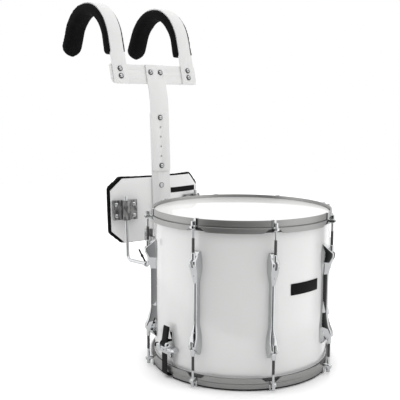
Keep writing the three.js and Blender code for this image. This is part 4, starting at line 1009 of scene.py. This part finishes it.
def small_screw(radius, height):
    """A round-headed cross-slot screw that stands up from Z = 0."""
    dome = [(radius * x, height * z) for x, z in arc(0, 0, 1, 0, 90, 5)]
    body = spun([(0, -OVERLAP), (radius, -OVERLAP), *dome], SCREW_SIDES, closed=False)
    slot, reach = radius * CROSS_WIDTH, radius * CROSS_REACH
    cross = []
    for i in range(4):
        turn = Matrix.Rotation(i * pi / 2, 2)
        cross += [turn @ Vector(point) for point in ((reach, -slot), (reach, slot), (slot, slot))]
    tool = moved(column(cross, height), seat(z=height * CROSS_FLOOR, turn_z=CROSS_TURN))
    return carved(body, tool)


def add_screws(name, spots, body, place, size=SMALL_SCREW):
    """Screws at their spots, as one piece."""
    screws = [moved(small_screw(*size), spot) for spot in spots]
    piece(name, together(*screws), BRIGHT_ZINC, body, place)


def lever():
    half, wide = LEVER_THICKNESS / 2, LEVER_WIDTH / 2
    top = LEVER_LENGTH - half
    blade = slab([(-half, 0), (half, 0), *arc(0, top, half, 0, 180)], LEVER_WIDTH)
    eased(blade, LEVER_ROUND, sharper=BAR_ANGLE)
    reach = wide + FIT_GAP + EAR_THICKNESS
    pin = backward(bar(LEVER_PIN_RADIUS, -reach, reach))
    barrel = backward(bar(LEVER_BARREL_RADIUS, -wide, wide))
    ribs = []
    for i in range(LEVER_RIBS):
        rib = backward(bar(LEVER_RIB, LEVER_RIB_INSET - wide, wide - LEVER_RIB_INSET, LEVER_RIB_SIDES, 0.2))
        ribs.append(moved(rib, seat(x=half, z=top - LEVER_RIB_PITCH * i)))
    return moved(together(blade, pin, barrel, *ribs), Matrix.Rotation(-radians(LEVER_LEAN), 4, "Y"))


def knob():
    radius, long = KNOB_RADIUS, KNOB_LENGTH
    profile = [(0, 0), (radius - KNOB_BACK_EASE, 0), (radius, KNOB_BACK_EASE)]
    profile += [(radius, long - KNOB_FRONT_EASE), (radius - KNOB_FRONT_EASE, long), (0, long)]
    flutes = []
    for i in range(KNOB_FLUTES):
        angle = 2 * pi * i / KNOB_FLUTES
        flute = bar(KNOB_FLUTE_RADIUS, -OVERLAP, long + OVERLAP, KNOB_FLUTE_SIDES, 0.1)
        flutes.append(moved(flute, seat(radius * cos(angle), radius * sin(angle))))
    grip = carved(spun(profile, KNOB_SIDES, closed=False), *flutes)
    return forward(together(grip, bar(KNOB_STEM_RADIUS, -KNOB_STEM_LENGTH, long / 2)))


def snare_strap():
    """A strap from the snares' end out under the hoop and up to its clamp."""
    high = HOOP_EDGE + HEAD_RECESS - FIT_GAP - SNARE_THICKNESS + WELD
    low = high - STRAP_THICKNESS
    start = SNARE_LENGTH / 2 - SNARE_END
    up = SKIRT_OUTER + STRAP_CLEAR
    top = STRAINER_MIDDLE - CROSSPIECE_HEIGHT / 2 - FIT_GAP
    outer = STRAP_BEND + STRAP_THICKNESS
    centre = up - STRAP_BEND
    outline = [(start, low), *arc(centre, low + outer, outer, -90, 0), (up + STRAP_THICKNESS, top), (up, top)]
    outline += [*arc(centre, low + outer, STRAP_BEND, 0, -90), (start, high)]
    return eased(slab(outline, STRAP_WIDTH), THIN_ROUND, 1, BAR_ANGLE)


def add_strainer():
    place = around(-90) @ seat(SEAT_RADIUS, 0, STRAINER_MIDDLE)
    add_copy("strainer_casting", "strainer_body", STRAINER_ROUND, CHROME, "drum")
    hinge = place @ seat(STRAINER_PLATE + LEVER_PIVOT_OUT, 0, LEVER_PIVOT_RISE)
    node = "strainer_lever"
    piece("throw_off_lever", lever(), BLACK_NYLON, node, hinge, node)
    node = "strainer_knob"
    end = place @ seat(STRAINER_PLATE + CROSSPIECE_DEPTH / 2, -CROSSPIECE_BACK - FIT_GAP)
    piece("tension_knob", knob(), BLACK_NYLON, node, end, node)
    face = STRAINER_PLATE + CROSSPIECE_DEPTH
    spots = [seat(face, y) @ ALONG_X for y in (0, CROSSPIECE_FRONT - CROSSPIECE_HEIGHT / 2)]
    add_screws("strainer_screws", spots, "drum", place)
    add_copy("butt_casting", "butt_plate", BUTT_ROUND, CHROME, "drum")
    place = around(90) @ seat(SEAT_RADIUS + BUTT_DEPTH, 0, STRAINER_MIDDLE)
    spots = [seat(y=hand * BUTT_WIDTH / 3) @ ALONG_X for hand in (1, -1)]
    add_screws("butt_screws", spots, "drum", place)


def add_snares():
    top = HOOP_EDGE + HEAD_RECESS - FIT_GAP
    half, wide = SNARE_LENGTH / 2, SNARE_WIDTH / 2
    wires, ends = [], []
    for i in range(WIRE_COUNT):
        y = SNARE_WIDTH * ((i + 0.5) / WIRE_COUNT - 0.5)
        wire = bar(WIRE_RADIUS, SNARE_END - half, half - SNARE_END, WIRE_SIDES, WIRE_EASE)
        wires.append(moved(wire, seat(0, y, top - SNARE_THICKNESS / 2) @ ALONG_X))
    piece("snare_wire_set", together(*wires), WOUND_WIRE, "drum", node="snare_wires")
    for hand in (1, -1):
        near, far = sorted((hand * (half - SNARE_END - OVERLAP), hand * half))
        ends.append(eased(block(near, far, -wide, wide, top - SNARE_THICKNESS, top), THIN_ROUND, 1))
    piece("snare_end_plates", together(*ends), BRIGHT_ZINC, "drum")
    straps = together(snare_strap(), moved(snare_strap(), seat(turn_z=pi)))
    piece("snare_straps", straps, BLACK_NYLON, "drum")


# Rods that carry the drum

def leg_at(length):
    """A point on a J rod's long leg, as far up as said."""
    y = CARRIER_FRONT + J_ROD_BEHIND * cos(LEAN) + length * sin(LEAN)
    z = CARRIER_LEVEL - J_ROD_BEHIND * sin(LEAN) + length * cos(LEAN)
    return Vector((0, y, z))


J_ROD_FOOT = leg_at((J_ROD_RUN_LEVEL - leg_at(0).z) / cos(LEAN))
J_ROD_FRONT = Vector((0, J_ROD_SHORT_LEG, J_ROD_RUN_LEVEL + J_ROD_RUN_RISE))


def j_rod():
    top = (0, J_ROD_SHORT_LEG, RECEIVER_TOP + RECEIVER_STUB)
    line = [top, J_ROD_FRONT, J_ROD_FOOT, leg_at(J_ROD_TOP)]
    rod = tube(line, J_ROD_RADIUS, J_ROD_BENDS)
    return eased(rod, J_ROD_ROUND, sharper=J_ROD_END_ANGLE)


def latch_ring():
    half = LATCH_LENGTH / 2
    upper = [(LATCH_OUTER, half - LATCH_EASE), (LATCH_OUTER - LATCH_EASE, half), (LATCH_BORE, half)]
    return backward(spun(both_ways(upper), LATCH_SIDES))


def latch_arm():
    start, end = LATCH_BORE + LATCH_WALL / 2, LATCH_OUTER + LATCH_LEVER
    arm = bar(LATCH_LEVER_RADIUS, start, end, LATCH_LEVER_SIDES, LATCH_LEVER_EASE)
    middle, reach = LATCH_OUTER + LATCH_LEVER * LATCH_COLLAR_SHARE, LATCH_COLLAR_LENGTH / 2
    collar = bar(LATCH_COLLAR_RADIUS, middle - reach, middle + reach, LATCH_COLLAR_SIDES, LATCH_COLLAR_EASE)
    return moved(together(arm, collar), seat(turn_x=-radians(LATCH_TILT)))


def add_rods():
    slope = (J_ROD_FOOT.z - J_ROD_FRONT.z) / (J_ROD_FOOT.y - J_ROD_FRONT.y)
    for hand, side in HANDS:
        out = hand * J_ROD_SPACING / 2
        name = f"receiver_casting_{side}"
        add_copy(name, f"receiver_{side}", RECEIVER_ROUND, CAST_ZINC, "drum")
        face = seat(hand * RECEIVER_BLOCK / 2, turn_z=(1 - hand) * pi / 2)
        spots = [seat(z=-drop) @ face @ ALONG_X for drop in RECEIVER_SCREW_DROPS]
        top = seat(out, J_ROD_SHORT_LEG, RECEIVER_TOP)
        add_screws(f"receiver_screws_{side}", spots, "drum", top, RECEIVER_SCREW)
        piece(f"bent_rod_{side}", j_rod(), SATIN_CHROME, "j_rods", seat(x=out), f"j_rod_{side}")
        level = J_ROD_FRONT.z + LATCH_SETBACK * slope
        run = seat(out, J_ROD_SHORT_LEG + LATCH_SETBACK, level, atan(slope))
        node = f"latch_{side}"
        piece(f"latch_lever_{side}", latch_arm(), BLACK_ENAMEL, node, run, node)
        piece(f"latch_ring_{side}", latch_ring(), CHROME, node, run)


# Carrier

def bolt():
    """A socket-headed bolt through two sheets, with its nut, its seat at Y = 0 and its head forward."""
    grip = 2 * SHEET + FIT_GAP
    tail = grip + FIT_GAP + NUT_HEIGHT + BOLT_TAIL
    neck = FIT_GAP + BOLT_NECK
    squash = (BOLT_HEAD_HEIGHT - BOLT_NECK) / (BOLT_DOME_RADIUS * sin(radians(BOLT_DOME_ANGLE)))
    dome = [(r, neck + z * squash) for r, z in arc(0, 0, BOLT_DOME_RADIUS, 0, BOLT_DOME_ANGLE, 5)]
    top = dome[-1][1]
    pin = spun([
        (0, -tail), (BOLT_RADIUS - BOLT_EASE, -tail), (BOLT_RADIUS, BOLT_EASE - tail), (BOLT_RADIUS, FIT_GAP),
        (BOLT_DOME_RADIUS, FIT_GAP), *dome, (BOLT_SOCKET_RADIUS, top),
        (BOLT_SOCKET_RADIUS, top - BOLT_SOCKET_DEPTH), (0, top - BOLT_SOCKET_DEPTH),
    ], closed=False)
    nut = bmesh.new()
    ops.create_cone(
        nut, cap_ends=True, segments=6, radius1=NUT_RADIUS, radius2=NUT_RADIUS, depth=NUT_HEIGHT,
        matrix=seat(z=-grip - FIT_GAP - NUT_HEIGHT / 2),
    )
    return forward(together(pin, eased(nut, NUT_ROUND)))


def bolt_ring_with_painted_shade():
    """The dark ring round a bolt's head: a ring with a hollow, its dark colour partly painted shade round the
    head.
    """
    high = FIT_GAP + RING_HEIGHT
    across, down = RING_HOLLOW
    return forward(spun([
        (RING_INNER, RING_LIFT), (RING_OUTER, RING_LIFT), (RING_OUTER, high - RING_EASE),
        (RING_OUTER - RING_EASE, high), (RING_INNER + across, high), (RING_INNER, high - down),
    ]))


def rivet():
    floor = RIVET_HEIGHT / 2
    return forward(spun([
        (0, -WELD), (RIVET_RADIUS, -WELD), (RIVET_RADIUS, RIVET_HEIGHT),
        (RIVET_RADIUS - RIVET_EASE, RIVET_TOP), (RIVET_DIMPLE, RIVET_TOP), (RIVET_DIMPLE, floor), (0, floor),
    ], closed=False))


def on_belly(turn, z):
    """A seat on the belly plate's front, its -Y pointing out of the plate."""
    x = BELLY_RADIUS * sin(turn)
    y = BELLY_CENTRE - BELLY_RADIUS * cos(turn)
    return CARRIER @ seat(x, y, z, 0, turn)


def sticker():
    """A bare dark strip on the plate's right wing."""
    inner = BELLY_RADIUS + STICKER_GAP
    start, end = [angle - 90 for angle in STICKER_SPAN]
    plan = arc(0, BELLY_CENTRE, inner + STICKER_THICKNESS, start, end, STICKER_STEPS)
    plan += arc(0, BELLY_CENTRE, inner, end, start, STICKER_STEPS)
    return moved(column(plan, STICKER_HEIGHT), seat(z=STICKER_LEVEL))


def bolt_places():
    """The bolts' names and seats."""
    low, high = STEM_BOLT_LEVELS
    places = {"stem_bolt_lower": CARRIER @ seat(z=low), "stem_bolt_upper": CARRIER @ seat(z=high)}
    for hand, side in HANDS:
        out, near = hand * HOOK_SPACING / 2, hand * CENTRE_BOLT_SPACING / 2
        places[f"hook_bolt_{side}_upper"] = CARRIER_HEAD @ seat(out, z=HOOK_BOLT_LEVEL + HOOK_BOLT_PITCH)
        places[f"hook_bolt_{side}_lower"] = CARRIER_HEAD @ seat(out, z=HOOK_BOLT_LEVEL)
        places[f"centre_bolt_{side}"] = CARRIER_HEAD @ seat(near, z=CENTRE_BOLT_LEVEL)
    return places


def add_carrier():
    sheets = ["upper_stem", "lower_stem", "belly_plate", "crossbar"]
    for node in sheets + [f"shoulder_strap_{side}" for hand, side in HANDS]:
        # the belly plate takes the lighter copy of the coat, which is painted light
        coat_or_painted_light_copy = PAINTED_LIGHT_PLATE_COAT if node == "belly_plate" else POWDER_COAT
        add_copy(f"coated_{node}", node, SHEET_ROUND, coat_or_painted_light_copy, "carrier", SHEET_ANGLE)
    for name, place in bolt_places().items():
        piece(f"socket_{name}", bolt(), BRIGHT_ZINC, "carrier", place, name)
        # a dark ring under each head, its darkness partly painted shade
        piece(f"washer_{name}", bolt_ring_with_painted_shade(), DARK_STEEL, "carrier", place)
    place = CARRIER @ seat(y=SHEET + FIT_GAP, z=RIVET_LEVEL)
    piece("plate_rivet", rivet(), BRIGHT_ZINC, "carrier", place)
    # the same dark ring round the rivet, partly painted shade
    piece("rivet_ring_with_painted_shade", bolt_ring_with_painted_shade(), DARK_STEEL, "carrier", place)
    piece("bare_sticker", sticker(), BLACK_ENAMEL, "carrier", CARRIER)

    wing = atan2(J_ROD_SPACING / 2, BELLY_CENTRE - J_ROD_BEHIND)
    front, top = -FIT_GAP - CLAMP_BASE, CLAMP_HEIGHT - CLAMP_SCREW_EDGE
    spots = [
        seat(hand * CLAMP_SCREW_OUT, front, z, pi / 2) for hand in (1, -1) for z in (CLAMP_SCREW_EDGE, top)
    ]
    for hand, side in HANDS:
        add_copy(f"clamp_casting_{side}", f"rod_clamp_{side}", CLAMP_ROUND, CAST_ZINC, "carrier")
        place = on_belly(hand * wing, CLAMP_BOTTOM)
        add_screws(f"clamp_screws_{side}", spots, "carrier", place, CLAMP_SCREW)


# Pads

def swollen(obj):
    """Blows the pad up as cloth, and gives each point's move, cut to the most that it may be."""
    start = [v.co.copy() for v in obj.data.vertices]
    cloth = obj.modifiers.new("cloth", "CLOTH")
    cloth.settings.use_pressure = True
    cloth.settings.uniform_pressure_force = PAD_PRESSURE
    cloth.settings.effector_weights.gravity = 0
    cloth.settings.quality = 5
    cloth.collision_settings.use_collision = False
    cloth.point_cache.frame_end = PAD_FRAMES
    for step in range(1, PAD_FRAMES + 1):
        scene.frame_set(step)
    graph = bpy.context.evaluated_depsgraph_get()
    ends = [v.co.copy() for v in obj.evaluated_get(graph).data.vertices]
    scene.frame_set(1)
    obj.modifiers.remove(cloth)
    shifts = [end - begin for begin, end in zip(start, ends)]
    return [shift * min(1, PAD_SWELL / max(shift.length, 1e-9)) for shift in shifts]


def add_pad(name, node, backing):
    """Foam that swells away from the sheet that it is glued to."""
    pad = as_object("pad", moved(merged_copy(node), DRUM))
    remesh = pad.modifiers.new("remesh", "REMESH")
    remesh.mode = "VOXEL"
    remesh.voxel_size = PAD_VOXEL
    bm = evaluated(pad)
    solid = bmesh.new()
    solid.from_mesh(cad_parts[backing].data)
    sheet = BVHTree.FromBMesh(solid)
    solid.free()
    free = []
    for v in bm.verts:
        distance = sheet.find_nearest(v.co)[3]
        free.append(min(1, max(0, (distance - PAD_HOLD) / PAD_EASE)))
        v.co += v.normal * PAD_GROW * free[-1]
    obj = as_object(name, bm)
    obj.data.shade_smooth()
    obj.data.materials.append(BLACK_FOAM)
    for v, shift, share in zip(obj.data.vertices, swollen(obj), free):
        v.co += shift * share
    finer = obj.modifiers.new("finer", "SUBSURF")
    finer.levels = finer.render_levels = 1
    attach(obj, "carrier")
    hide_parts(node)


def add_pads():
    add_pad("belly_foam", "belly_pad", "belly_plate")
    for hand, side in HANDS:
        add_pad(f"shoulder_foam_{side}", f"shoulder_pad_{side}", f"shoulder_strap_{side}")


# Floor, light and camera

def add_floor():
    """A wide floor lights the drum, a near one is what metal reflects, and the camera sees the bright one."""
    wide, near, bright = bmesh.new(), bmesh.new(), bmesh.new()
    for bm in (wide, bright):
        ops.create_grid(bm, x_segments=1, y_segments=1, size=FLOOR_SIZE / 2)
    ops.create_circle(near, cap_ends=True, segments=NEAR_FLOOR_SIDES, radius=NEAR_FLOOR_RADIUS)
    floors = [("bright_floor", bright, BRIGHT_FLOOR_TONE), ("near_floor", near, NEAR_FLOOR_TONE)]
    for i, (name, bm, tone) in enumerate(floors + [("floor", wide, FLOOR_TONE)]):
        finish = Finish(name, grey(tone), 0.6)
        obj = as_object(name, moved(bm, seat(z=-i * FLOOR_STEP)))
        obj.data.materials.append(finish.fed(Roughness=finish.noise(3).between(0.55, 0.65)))
        obj.visible_camera = name == "bright_floor"
        obj.visible_glossy = name == "near_floor"
        obj.visible_diffuse = name == "floor"
        obj.visible_shadow = name == "floor"


def add_camera():
    yaw = atan2(-HEADING[0], HEADING[1])
    tilt = Matrix.Rotation(radians(90 - PITCH), 4, "X") @ Matrix.Rotation(radians(ROLL), 4, "Z")
    data = bpy.data.cameras.new("camera")
    data.sensor_width = SENSOR
    data.lens = FOCAL_LENGTH
    data.shift_x, data.shift_y = SHIFT
    camera = bpy.data.objects.new("camera", data)
    camera.matrix_world = seat(*(DRUM @ Vector(EYE)), turn_z=yaw) @ tilt
    scene.collection.objects.link(camera)
    scene.camera = camera


def add_light():
    world = bpy.data.worlds.new("studio")
    world.use_nodes = True
    world.node_tree.nodes.clear()
    scene.world = world
    studio = Nodes(world.node_tree)
    x, y, z = studio.axes(studio.node("TexCoord", {}, {}, "Generated"))
    ahead = x * -HEADING[0] + y * -HEADING[1]
    across = x * HEADING[1] + y * -HEADING[0]
    turn = x.maths("DEGREES", x.maths("ARCTAN2", across, ahead))
    left, right = DARK_WALL
    lit = studio.step(turn, right, WALL_EDGE) + (1 - studio.step(turn, left, WALL_EDGE))
    sides = studio.step(x.maths("ABSOLUTE", turn), BACK_START, BACK_EDGE).between(SIDE_LIGHT, BACK_LIGHT)
    dark = studio.step(turn, (left + right) / 2, right - left).between(*DARK_LIGHTS)
    low, high = DIM_WALL
    sides = sides - studio.step(turn, low, DIM_EDGE) * (1 - studio.step(turn, high, DIM_EDGE)) * DIM_SHARE
    wall = lit * (sides - dark) + dark
    ceiling = studio.step(z, CEILING_START, CEILING_EDGE)
    ground = 1 - studio.step(z, GROUND_START, GROUND_EDGE)
    light = wall * (1 - ceiling) + ceiling * CEILING_LIGHT
    light = light * (1 - ground) + ground * FLOOR_LIGHT
    seen = studio.node("LightPath", {}, {}, "Is Camera Ray")
    light = light * (1 - seen) + seen
    background = studio.node("Background", {}, {"Strength": light, "Color": (1, 1, 1, 1)})
    out = world.node_tree.nodes.new("ShaderNodeOutputWorld")
    world.node_tree.links.new(background.socket, out.inputs["Surface"])
    scene.view_settings.view_transform = "Standard"


add_drum()
add_strainer()
add_snares()
add_rods()
add_carrier()
add_pads()
add_floor()
add_camera()
add_light()
